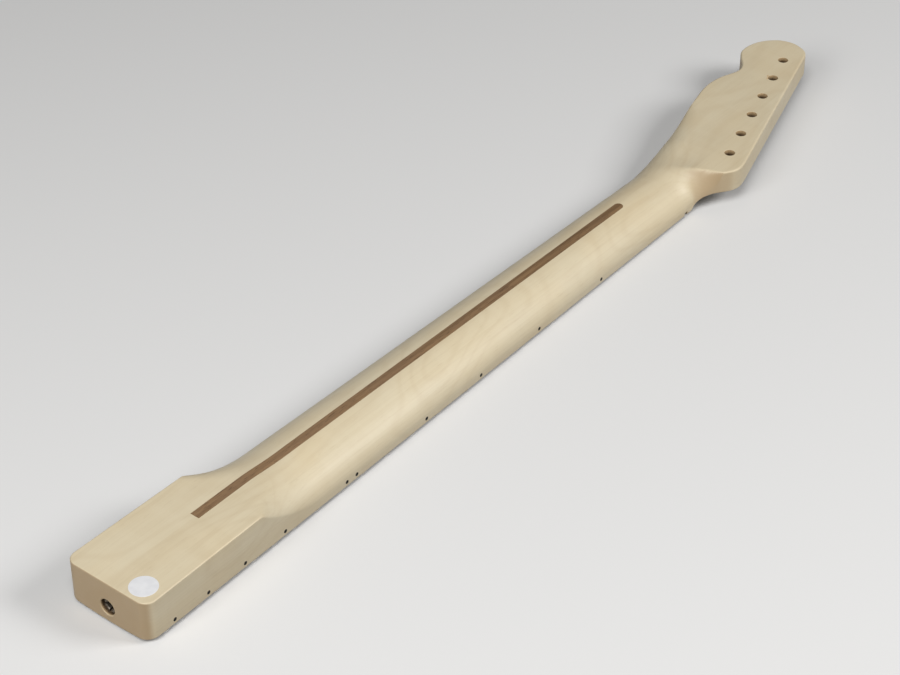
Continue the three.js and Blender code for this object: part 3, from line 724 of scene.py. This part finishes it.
def side_dots():
    """(name, x) of each side dot: one between two frets, and a pair at the octave."""
    apart = SIDE_DOT_PAIR_SPACING / 2
    for n in DOT_FRETS:
        if n == OCTAVE_FRET:
            yield f"side_dot_{n}_head", dot_x(n) + apart
            yield f"side_dot_{n}_heel", dot_x(n) - apart
        else:
            yield f"side_dot_{n}", dot_x(n)


def face_dots():
    """(name, x, y) of each face dot: one on the centre line, and a pair at the octave."""
    apart = FACE_DOT_PAIR_SPACING / 2
    for n in DOT_FRETS:
        if n == OCTAVE_FRET:
            yield f"face_dot_{n}_treble", dot_x(n), apart
            yield f"face_dot_{n}_bass", dot_x(n), -apart
        else:
            yield f"face_dot_{n}", dot_x(n), 0


def side_dot_tool(x, gap):
    surface = half_width(x)
    centre = (x, 0, face_crown(surface) + SIDE_DOT_ABOVE_EDGE)
    inner_end = -surface + SIDE_DOT_DEPTH + gap
    return cylinder(1, centre, -surface - OVERRUN, inner_end, SIDE_DOT_DIAMETER / 2 + gap)


def face_dot_tool(x, y, gap):
    depth = face_crown(y) + FACE_DOT_DEPTH + gap
    return cylinder(2, (x, y, 0), -OVERRUN, depth, FACE_DOT_DIAMETER / 2 + gap)


def rod_cuts():
    hole = ROD_DIAMETER + 2 * ROD_CLEARANCE
    return joined([
        rod_cylinder(hole, SHOULDER_X - OVERRUN, STRIP_START + OVERRUN, ROD_DEPTH_AT_HEEL),
        rod_cylinder(hole, STRIP_END - STRIP_WIDTH, ANCHOR_X + OVERRUN, ROD_DEPTH_AT_NUT),
    ])


def other_cuts():
    slot_x = BOARD_LENGTH + NUT_SLOT_SETBACK
    nut_slot = box_between((slot_x, -NUT_WIDTH, -OVERRUN),
                           (slot_x + NUT_SLOT_WIDTH, NUT_WIDTH, NUT_SLOT_DEPTH))
    anchor_bore = rod_cylinder(ANCHOR_BORE_DIAMETER, ANCHOR_X, ANCHOR_BORE_END, ROD_DEPTH_AT_NUT)
    return joined([
        heel_bore(), channel(0, -ROD_DIAMETER / 2 - ROD_CLEARANCE), nut_slot, anchor_bore,
        *[tuner_hole(place) for place in tuner_places()],
        *[fret_slot(n) for n in range(1, FRET_COUNT + 1)],
        *[side_dot_tool(x, DOT_GAP) for _, x in side_dots()],
        *[face_dot_tool(x, y, DOT_GAP) for _, x, y in face_dots()],
    ])


def bored_faces(mesh):
    """Whether each face lines a tuner hole or the bore at the heel."""
    centres = np.empty(3 * len(mesh.polygons))
    mesh.polygons.foreach_get("center", centres)
    centres = centres.reshape(-1, 3) / MM + (SEAT_CENTRE, 0, BLANK_THICKNESS)
    from_rod = np.hypot(centres[:, 1], centres[:, 2] - ROD_DEPTH_AT_HEEL)
    bored = (centres[:, 0] <= SHOULDER_X) & (from_rod < HEEL_BORE_DIAMETER / 2)
    for place in tuner_places():
        bored |= np.linalg.norm(centres[:, :2] - place, axis=1) < TUNER_HOLE_DIAMETER / 2
    return bored


# Materials, in the piece's own coordinates
class Finish:
    """A node material: textures are added to it and end in its shader."""

    def __init__(self, name, **shader_values):
        self.made = bpy.data.materials.new(name)
        self.made.use_nodes = True
        self.nodes = self.made.node_tree.nodes
        self.links = self.made.node_tree.links
        self.shader = self.nodes["Principled BSDF"]
        for socket, value in shader_values.items():
            self.shader.inputs[socket.replace("_", " ")].default_value = value
        coordinates = self.nodes.new("ShaderNodeTexCoord")
        self.place = coordinates.outputs["Object"]
        self.normal = coordinates.outputs["Normal"]

    def node(self, kind, inputs, output=0, **settings):
        made = self.nodes.new("ShaderNode" + kind)
        for name, value in settings.items():
            setattr(made, name, value)
        for socket, value in inputs.items():
            if isinstance(value, bpy.types.NodeSocket):
                self.links.new(value, made.inputs[socket])
            else:
                made.inputs[socket].default_value = value
        return made.outputs[output]

    def axes(self, vector):
        """The vector's X, Y and Z."""
        parts = self.nodes.new("ShaderNodeSeparateXYZ")
        self.links.new(vector, parts.inputs[0])
        return parts.outputs

    def vector_math(self, operation, a, b):
        return self.node("VectorMath", {0: a, 1: b}, operation=operation)

    def math(self, operation, a, b=0.0, c=0.0):
        return self.node("Math", {0: a, 1: b, 2: c}, operation=operation)

    def noise(self, per_metre, detail, roughness=0.5, distortion=0.0, place=None, output="Fac"):
        """Noise that repeats about so many times a metre along X, Y and Z."""
        vector = self.vector_math("MULTIPLY", place or self.place, per_metre)
        return self.node("TexNoise", {"Vector": vector, "Scale": 1.0, "Detail": detail,
                                      "Roughness": roughness, "Distortion": distortion}, output)

    def ramp(self, value, low, high, to_low=0.0, to_high=1.0):
        return self.node("MapRange", {"Value": value, "From Min": low, "From Max": high,
                                      "To Min": to_low, "To Max": to_high},
                         interpolation_type="SMOOTHSTEP")

    def mix(self, share, a, b, blend="MIX"):
        """Mix of two colours, which are sockets 6 and 7 of the node, and 2 of its outputs."""
        return self.node("Mix", {0: share, 6: a, 7: b}, output=2, data_type="RGBA", blend_type=blend)

    def over(self, tone, pattern, low, high, strength, top_tone):
        """The tone with another laid over it, up to that strength where the pattern is high."""
        return self.mix(self.ramp(pattern, low, high, 0.0, strength), tone, top_tone)

    def bump(self, height, depth_mm):
        return self.node("Bump", {"Height": height, "Distance": depth_mm * MM, "Strength": 1.0})

    def connect(self, **values):
        """Links values to the shader's sockets, and gives the material."""
        for socket, value in values.items():
            self.links.new(value, self.shader.inputs[socket.replace("_", " ")])
        return self.made


def colour(red, green, blue):
    return (red, green, blue, 1.0)


def grain_place(finish, sway_mm):
    """Coordinates whose lines along X sway a little, as grain does."""
    reach = 2 * sway_mm * MM
    sway = finish.noise((5.0, 18.0, 18.0), 1.0, output="Color")
    moved = finish.vector_math("SUBTRACT", sway, (0.5, 0.5, 0.5))
    moved = finish.vector_math("MULTIPLY", moved, (0.0, reach, reach))
    return finish.vector_math("ADD", finish.place, moved)


# Yearly rings of the maple: their axis, its lean along X, and their spacing
RING_AXIS_Y = 14.0
RING_AXIS_Z = -150.0
RING_AXIS_LEAN = 0.011
RING_SPACING = 2.1
LATE_WOOD_STRENGTH = 0.10
CURLS_PER_HILL = 26.0

# End grain: how far the normal must lean along X for it to start and to be full, what is taken
# off where it leans up or down as well, and how strong it is at most
END_GRAIN_FROM = 0.28
END_GRAIN_TO = 0.78
END_GRAIN_LOST_ON_FLATS = 0.25
END_GRAIN_STRENGTH = 0.85

# Tones of the woods
MAPLE_PALE = colour(0.735, 0.640, 0.455)
MAPLE_STREAK = colour(0.690, 0.585, 0.400)
MAPLE_CLOUD = colour(0.735, 0.610, 0.400)
MAPLE_LATE_WOOD = colour(0.56, 0.43, 0.25)
MAPLE_GRAIN = colour(0.50, 0.39, 0.24)
MAPLE_FLECK = colour(0.46, 0.33, 0.19)
MAPLE_FLAME = colour(0.86, 0.77, 0.58)
MAPLE_CURL = colour(0.56, 0.43, 0.26)
MAPLE_END_GRAIN = colour(0.515, 0.370, 0.215)
BORED_MOUTH = colour(0.66, 0.47, 0.26)
# Next tone: painted shade deep inside the bored holes
BORED_PAINTED_SHADE = colour(0.075, 0.045, 0.022)
BORED_FIBRE = colour(0.30, 0.19, 0.095)
BORED_SWIRL = colour(0.16, 0.098, 0.048)
WALNUT_PALE = colour(0.318, 0.199, 0.105)
WALNUT_STREAK = colour(0.212, 0.127, 0.065)
WALNUT_CLOUD = colour(0.249, 0.156, 0.089)
WALNUT_PORE = colour(0.105, 0.060, 0.034)
WALNUT_TINT_AT_HEAD = colour(0.86, 0.84, 0.79)


def growth_rings(finish, place):
    """Share from 0 at the start of each yearly ring to 1 at its end."""
    x, y, z = finish.axes(place)
    from_y = finish.math("SUBTRACT", y, RING_AXIS_Y * MM)
    below = finish.math("SUBTRACT", z, RING_AXIS_Z * MM)
    from_z = finish.math("MULTIPLY_ADD", x, RING_AXIS_LEAN, below)
    squares = finish.math("MULTIPLY_ADD", from_y, from_y, finish.math("MULTIPLY", from_z, from_z))
    radius = finish.math("SQRT", squares)
    return finish.math("FRACT", finish.math("DIVIDE", radius, RING_SPACING * MM))


def end_grain(finish):
    """Strength of end grain: most where the surface faces along X, and less where it lies flat."""
    normal_x, _, normal_z = finish.axes(finish.normal)
    along = finish.math("ABSOLUTE", normal_x)
    flat = finish.math("ABSOLUTE", normal_z)
    shown = finish.math("MULTIPLY_ADD", flat, -END_GRAIN_LOST_ON_FLATS, along)
    return finish.ramp(shown, END_GRAIN_FROM, END_GRAIN_TO, 0.0, END_GRAIN_STRENGTH)


def maple():
    """Pale maple: streaks, grain and flecks along the neck, yearly rings, clouds, flame and
    faint curls, and darker end grain."""
    finish = Finish("maple", Specular_IOR_Level=0.42)
    place = grain_place(finish, 1.6)
    rings = growth_rings(finish, place)
    ring_ends = finish.ramp(rings, 0.97, 1.0, 1.0, 0.0)
    late_wood = finish.math("MULTIPLY", finish.ramp(rings, 0.55, 0.97), ring_ends)
    streaks = finish.noise((3.0, 70.0, 70.0), 3.0, 0.55, place=place)
    grain = finish.noise((14.0, 900.0, 900.0), 3.0, 0.6, place=place)
    flecks = finish.noise((150.0, 1500.0, 1500.0), 1.0, 0.5, place=place)
    clouds = finish.noise((14.0, 26.0, 26.0), 2.0, 0.5, 0.6)
    flame = finish.noise((95.0, 16.0, 40.0), 2.0, 0.5, 0.4)
    hills = finish.noise((7.0, 17.0, 17.0), 1.0, 0.4, 0.3)
    curls = finish.math("PINGPONG", finish.math("MULTIPLY", hills, CURLS_PER_HILL), 1.0)

    tone = finish.over(MAPLE_PALE, streaks, 0.32, 0.70, 1.0, MAPLE_STREAK)
    tone = finish.over(tone, clouds, 0.40, 0.75, 0.55, MAPLE_CLOUD)
    tone = finish.mix(finish.math("MULTIPLY", late_wood, LATE_WOOD_STRENGTH), tone, MAPLE_LATE_WOOD)
    tone = finish.over(tone, grain, 0.45, 0.80, 0.16, MAPLE_GRAIN)
    tone = finish.over(tone, flecks, 0.62, 0.78, 0.14, MAPLE_FLECK)
    tone = finish.over(tone, flame, 0.35, 0.70, 0.10, MAPLE_FLAME)
    tone = finish.over(tone, curls, 0.45, 0.95, 0.13, MAPLE_CURL)
    tone = finish.mix(end_grain(finish), tone, MAPLE_END_GRAIN)

    lacquer = finish.noise((90.0, 140.0, 140.0), 2.0)
    height = finish.math("MULTIPLY_ADD", grain, 0.35, finish.math("MULTIPLY", lacquer, 0.5))
    return finish.connect(Base_Color=tone, Roughness=finish.ramp(streaks, 0.2, 0.8, 0.40, 0.52),
                          Normal=finish.bump(height, 0.035))


def bored_maple_painted_shade():
    """End grain of a drilled bore, with painted shade that makes it darker the deeper it lies below
    the back or behind the heel's end."""
    finish = Finish("bored_maple_painted_shade", Specular_IOR_Level=0.3)
    swirl = finish.noise((700.0, 700.0, 2400.0), 3.0, 0.6)
    fibres = finish.noise((500.0, 1600.0, 1600.0), 2.0)
    x, _, z = finish.axes(finish.place)
    below_back = finish.math("MULTIPLY", z, -1.0)
    behind_end = finish.math("MULTIPLY_ADD", x, BORE_PAINTED_SHADE_SOONER,
                             BORE_PAINTED_SHADE_SOONER * SEAT_CENTRE * MM)
    depth = finish.math("MINIMUM", below_back, behind_end)
    # Painted shade: the wall turns darker the deeper it lies inside a hole
    tone = finish.over(BORED_MOUTH, depth, 0.0, BORED_PAINTED_SHADE_DEPTH * MM, 1.0, BORED_PAINTED_SHADE)
    tone = finish.over(tone, fibres, 0.45, 0.75, 0.45, BORED_FIBRE)
    tone = finish.over(tone, swirl, 0.50, 0.80, 0.40, BORED_SWIRL)
    return finish.connect(Base_Color=tone, Roughness=finish.ramp(fibres, 0.3, 0.7, 0.70, 0.88),
                          Normal=finish.bump(swirl, 0.05))


def walnut():
    """Walnut, a little darker and redder towards the headstock."""
    finish = Finish("walnut", Specular_IOR_Level=0.42)
    place = grain_place(finish, 0.7)
    streaks = finish.noise((9.0, 420.0, 420.0), 3.0, 0.6, place=place)
    pores = finish.noise((160.0, 2600.0, 2600.0), 2.0, place=place)
    clouds = finish.noise((30.0, 60.0, 60.0), 2.0, 0.5, 0.5)
    tone = finish.over(WALNUT_PALE, streaks, 0.30, 0.72, 1.0, WALNUT_STREAK)
    tone = finish.over(tone, clouds, 0.38, 0.70, 0.55, WALNUT_CLOUD)
    tone = finish.over(tone, pores, 0.56, 0.68, 0.65, WALNUT_PORE)
    along_neck = finish.axes(finish.place)[0]
    towards_head = finish.ramp(along_neck, STRIP_START * MM, STRIP_END * MM)
    tone = finish.mix(towards_head, tone, WALNUT_TINT_AT_HEAD, blend="MULTIPLY")
    between_pores = finish.ramp(pores, 0.52, 0.70, 1.0, 0.0)
    return finish.connect(Base_Color=tone, Roughness=finish.ramp(streaks, 0.2, 0.8, 0.42, 0.56),
                          Normal=finish.bump(between_pores, 0.03))


def fret_wire():
    """Bright wire, scratched along its length and a little tarnished."""
    finish = Finish("fret_wire", Metallic=1.0)
    scratches = finish.noise((2600.0, 90.0, 2600.0), 2.0, 0.6)
    tarnish = finish.noise((140.0, 140.0, 140.0), 3.0, 0.55)
    tone = finish.over(colour(0.72, 0.70, 0.66), tarnish, 0.35, 0.75, 1.0, colour(0.60, 0.57, 0.52))
    wear = finish.math("ADD", scratches, tarnish)
    return finish.connect(Base_Color=tone, Roughness=finish.ramp(wear, 0.7, 1.4, 0.16, 0.32),
                          Normal=finish.bump(scratches, 0.002))


def dull_steel(name, bright, dark, smoothest, roughest):
    """Turned steel: faint rings about the rod's axis, and a thin uneven tarnish."""
    finish = Finish(name, Metallic=1.0)
    turned = finish.noise((2400.0, 60.0, 60.0), 2.0, 0.6)
    tarnish = finish.noise((260.0, 260.0, 260.0), 3.0, 0.6)
    wear = finish.math("ADD", turned, tarnish)
    return finish.connect(Base_Color=finish.over(bright, tarnish, 0.35, 0.72, 1.0, dark),
                          Roughness=finish.ramp(wear, 0.7, 1.4, smoothest, roughest),
                          Normal=finish.bump(turned, 0.006))


def black_dot():
    """Black plastic with a faint mottle."""
    finish = Finish("black_dot", Specular_IOR_Level=0.15)
    mottle = finish.noise((900.0, 900.0, 900.0), 2.0)
    tone = finish.over(colour(0.006, 0.0055, 0.005), mottle, 0.3, 0.7, 1.0, colour(0.018, 0.016, 0.014))
    return finish.connect(Base_Color=tone, Roughness=finish.ramp(mottle, 0.3, 0.7, 0.46, 0.62),
                          Normal=finish.bump(mottle, 0.004))


def white_paper():
    """Coated paper with a faint tooth."""
    finish = Finish("white_paper", Coat_Weight=0.15, Coat_Roughness=0.35)
    tooth = finish.noise((3800.0, 3800.0, 3800.0), 3.0, 0.6)
    clouds = finish.noise((220.0, 220.0, 220.0), 2.0)
    tone = finish.over(colour(0.83, 0.83, 0.84), clouds, 0.3, 0.7, 1.0, colour(0.77, 0.77, 0.785))
    return finish.connect(Base_Color=tone, Roughness=finish.ramp(tooth, 0.3, 0.7, 0.46, 0.60),
                          Normal=finish.bump(tooth, 0.004))


MAPLE = maple()
BORED_MAPLE_PAINTED_SHADE = bored_maple_painted_shade()
WALNUT = walnut()
FRET_WIRE = fret_wire()
ROD_STEEL = dull_steel("rod_steel", colour(0.47, 0.46, 0.44), colour(0.33, 0.31, 0.28), 0.28, 0.50)
NUT_STEEL = dull_steel("nut_steel", colour(0.27, 0.24, 0.20), colour(0.13, 0.105, 0.08), 0.46, 0.66)
BLACK_DOT = black_dot()
WHITE_PAPER = white_paper()


def settle(piece, material, body, node, degrees=SHARP_DEGREES):
    """Gives a finished piece its material and its place in the frame."""
    piece.data.materials.clear()
    piece.data.materials.append(material)
    shade(piece, degrees)
    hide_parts(node)
    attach(piece, body)


# Wooden pieces and dots, cut from the same whole neck
def neck_wood(uncut):
    piece = copy_of(uncut, "neck_wood")
    combine(piece, other_cuts(), "DIFFERENCE")
    combine(piece, rod_cuts(), "DIFFERENCE")
    weighted = piece.modifiers.new("weighted normals", "WEIGHTED_NORMAL")
    weighted.keep_sharp = True
    settle(piece, MAPLE, "neck", "neck_blank", NECK_SHARP_DEGREES)
    # Faces inside the holes get the bored maple with its painted shade
    piece.data.materials.append(BORED_MAPLE_PAINTED_SHADE)
    piece.data.polygons.foreach_set("material_index", bored_faces(piece.data).astype(np.int32))


def inlay(uncut, name, tool, material, node):
    """Piece let into the neck and trimmed flush with it."""
    piece = copy_of(uncut, name)
    combine(piece, tool, "INTERSECT")
    settle(piece, material, "neck", node)


def neck_and_inlays():
    uncut = new_piece("uncut_neck", *neck_solid())
    neck_wood(uncut)
    strip = channel(GLUE_GAP, ROD_DIAMETER / 2 + ROD_CLEARANCE)
    inlay(uncut, "strip_wood", strip, WALNUT, "filler_strip")
    plug = rod_cylinder(ANCHOR_BORE_DIAMETER - 2 * GLUE_GAP, ANCHOR_END + SEAT_GAP, ANCHOR_BORE_END,
                        ROD_DEPTH_AT_NUT)
    inlay(uncut, "plug_wood", plug, WALNUT, "anchor_plug")
    dots = [(node, side_dot_tool(x, 0)) for node, x in side_dots()]
    dots += [(node, face_dot_tool(x, y, 0)) for node, x, y in face_dots()]
    for node, dot in dots:
        inlay(uncut, node.replace("dot", "inlay"), dot, BLACK_DOT, node)
    discard(uncut)


neck_and_inlays()


# Frets: a round-backed crown with dressed ends, over its tang
def fret(n):
    x = fret_x(n)
    arch = []
    for turn in np.linspace(0, math.pi, FRET_CROWN_STEPS + 1):
        side = math.copysign(abs(math.cos(turn)) ** FRET_CROWN_WIDTH_POWER, math.cos(turn))
        rise = math.sin(turn) ** FRET_CROWN_HEIGHT_POWER
        arch.append((FRET_CROWN_WIDTH / 2 * side, SEAT_GAP + (FRET_CROWN_HEIGHT - SEAT_GAP) * rise))
    heights = [(FRET_END_BEVEL * share, lerp(FRET_END_HEIGHT_SHARE, 1, math.sin(share * math.pi / 2)))
               for share in np.linspace(0, 1, FRET_END_STEPS + 1)]
    crown = bent_bar(x, half_width(x) - FRET_END_INSET, arch, heights)
    piece = new_piece(f"fret_wire_{n:02d}", *crown)
    half = FRET_TANG_WIDTH / 2
    top = FRET_CROWN_HEIGHT / 2
    tang = [(half, top), (-half, top), (-half, -FRET_TANG_DEPTH), (half, -FRET_TANG_DEPTH)]
    combine(piece, bent_bar(x, half_width(x) - FRET_SLOT_END_WALL - SEAT_GAP, tang), "UNION")
    settle(piece, FRET_WIRE, "neck", f"fret_{n:02d}")


for n in range(1, FRET_COUNT + 1):
    fret(n)


# Slotted nut on the rod
def truss_nut():
    radius, chamfer = TRUSS_NUT_DIAMETER / 2, TRUSS_NUT_CHAMFER
    start, end = TRUSS_NUT_RECESS, TRUSS_NUT_RECESS + TRUSS_NUT_LENGTH
    centre = (0, 0, ROD_DEPTH_AT_HEEL)
    piece = new_piece("truss_nut_steel", *lathe_along(0, centre, [
        (start, radius - chamfer), (start + chamfer, radius),
        (end - chamfer, radius), (end, radius - chamfer),
    ]))
    bore = ROD_DIAMETER / 2 + THREAD_GAP
    combine(piece, lathe_along(0, centre, [
        (start - OVERRUN, bore + chamfer + OVERRUN), (start + chamfer, bore), (end + OVERRUN, bore),
    ]), "DIFFERENCE")
    half = TRUSS_SLOT_WIDTH / 2
    for half_y, half_z in ((TRUSS_NUT_DIAMETER, half), (half, TRUSS_NUT_DIAMETER)):
        slot = box_between((start - OVERRUN, -half_y, ROD_DEPTH_AT_HEEL - half_z),
                           (start + TRUSS_SLOT_DEPTH, half_y, ROD_DEPTH_AT_HEEL + half_z))
        combine(piece, slot, "DIFFERENCE")
    settle(piece, NUT_STEEL, "truss_nut", "truss_nut")


truss_nut()

# The rod and what it pulls on keep their solids
for node in ("truss_rod", "truss_anchor", "truss_washer"):
    materials = frame["nodes"][node].data.materials
    materials.clear()
    materials.append(ROD_STEEL)


# Sticker: a paper disc with a softly rounded rim
def sticker():
    radius = STICKER_DIAMETER / 2
    centre = (STICKER_FROM_END, -STICKER_FROM_CENTRE, 0)
    top = BLANK_THICKNESS + STICKER_PROUD
    rim = [(top - STICKER_EDGE * (1 - math.sin(turn)), radius - STICKER_EDGE * (1 - math.cos(turn)))
           for turn in quarter_turn(STICKER_RIM_STEPS)]
    rings = [(top, radius * share) for share in STICKER_RING_SHARES]
    profile = [(top - STICKER_THICKNESS, radius)] + rim + rings
    piece = new_piece("sticker_paper", *lathe_along(2, centre, profile, STICKER_SIDES))
    settle(piece, WHITE_PAPER, "neck", "heel_sticker")


sticker()


# Floor, light and camera
FLOOR_HALF_SIZE = 6.0
FLOOR_HEIGHT = -(BLANK_THICKNESS + FRET_CROWN_HEIGHT) * MM
FLOOR_TONE = colour(0.80, 0.795, 0.785)
FLOOR_BOUNCE_TONE = colour(0.16, 0.155, 0.15)
CAMERA_PLACE = (-0.61118, -0.67436, 0.79832)
CAMERA_YAW, CAMERA_PITCH, CAMERA_ROLL = (math.radians(a) for a in (38.745, 36.807, -0.07))
CAMERA_LENS = 97.106
CAMERA_CLIP = (0.01, 50.0)
WORLD_TONE = colour(0.93, 0.94, 0.95)
WORLD_STRENGTH = 0.04
LAMPS = (
    ("key_light", (-0.843, -0.631, 1.802), 23.0),
    ("side_light", (1.151, -1.561, 1.262), 26.0),
    ("front_light", (-1.552, 0.0, 1.262), 15.7),
)
LAMP_SIZE = 0.9
LAMP_AIM = (0.25, 0.0, 0.0)


def floor():
    """Pale to the eye, but it throws little light back up at the neck."""
    size = FLOOR_HALF_SIZE
    mesh = bpy.data.meshes.new("floor")
    corners = [(-size, -size, 0), (size, -size, 0), (size, size, 0), (-size, size, 0)]
    mesh.from_pydata(corners, [], [(0, 1, 2, 3)])
    piece = add_object("floor", mesh)
    piece.location.z = FLOOR_HEIGHT
    finish = Finish("floor", Roughness=0.9, Specular_IOR_Level=0.2)
    ray = finish.nodes.new("ShaderNodeLightPath").outputs
    seen = finish.math("MAXIMUM", ray["Is Glossy Ray"], ray["Is Transmission Ray"])
    seen = finish.math("MAXIMUM", ray["Is Camera Ray"], seen)
    mesh.materials.append(finish.connect(Base_Color=finish.mix(seen, FLOOR_BOUNCE_TONE, FLOOR_TONE)))


def stand(piece, right, up, back, place):
    """Puts a lamp or a camera at its place, with its own axes along right, up and back."""
    rows = [[right[k], up[k], back[k], place[k]] for k in range(3)]
    piece.matrix_world = Matrix(rows + [[0, 0, 0, 1]])


def lamp(name, place, power):
    light = bpy.data.lights.new(name, "AREA")
    light.size = LAMP_SIZE
    light.energy = power
    back = np.array(place) - LAMP_AIM
    back /= np.linalg.norm(back)
    right = np.cross((0, 0, 1), back)
    right /= np.linalg.norm(right)
    stand(add_object(name, light), right, np.cross(back, right), back, place)


def world():
    made = bpy.data.worlds.new("studio")
    made.use_nodes = True
    background = made.node_tree.nodes["Background"]
    background.inputs["Color"].default_value = WORLD_TONE
    background.inputs["Strength"].default_value = WORLD_STRENGTH
    bpy.context.scene.world = made


def camera():
    data = bpy.data.cameras.new("camera")
    data.lens = CAMERA_LENS
    data.clip_start, data.clip_end = CAMERA_CLIP
    piece = add_object("camera", data)
    forward = np.array([math.cos(CAMERA_YAW) * math.cos(CAMERA_PITCH),
                        math.sin(CAMERA_YAW) * math.cos(CAMERA_PITCH), -math.sin(CAMERA_PITCH)])
    level = np.cross(forward, (0, 0, 1))
    level /= np.linalg.norm(level)
    above = np.cross(level, forward)
    right = math.cos(CAMERA_ROLL) * level + math.sin(CAMERA_ROLL) * above
    up = -math.sin(CAMERA_ROLL) * level + math.cos(CAMERA_ROLL) * above
    stand(piece, right, up, -forward, CAMERA_PLACE)
    bpy.context.scene.camera = piece


floor()
for settings in LAMPS:
    lamp(*settings)
world()
camera()
bpy.context.scene.view_settings.view_transform = "Standard"
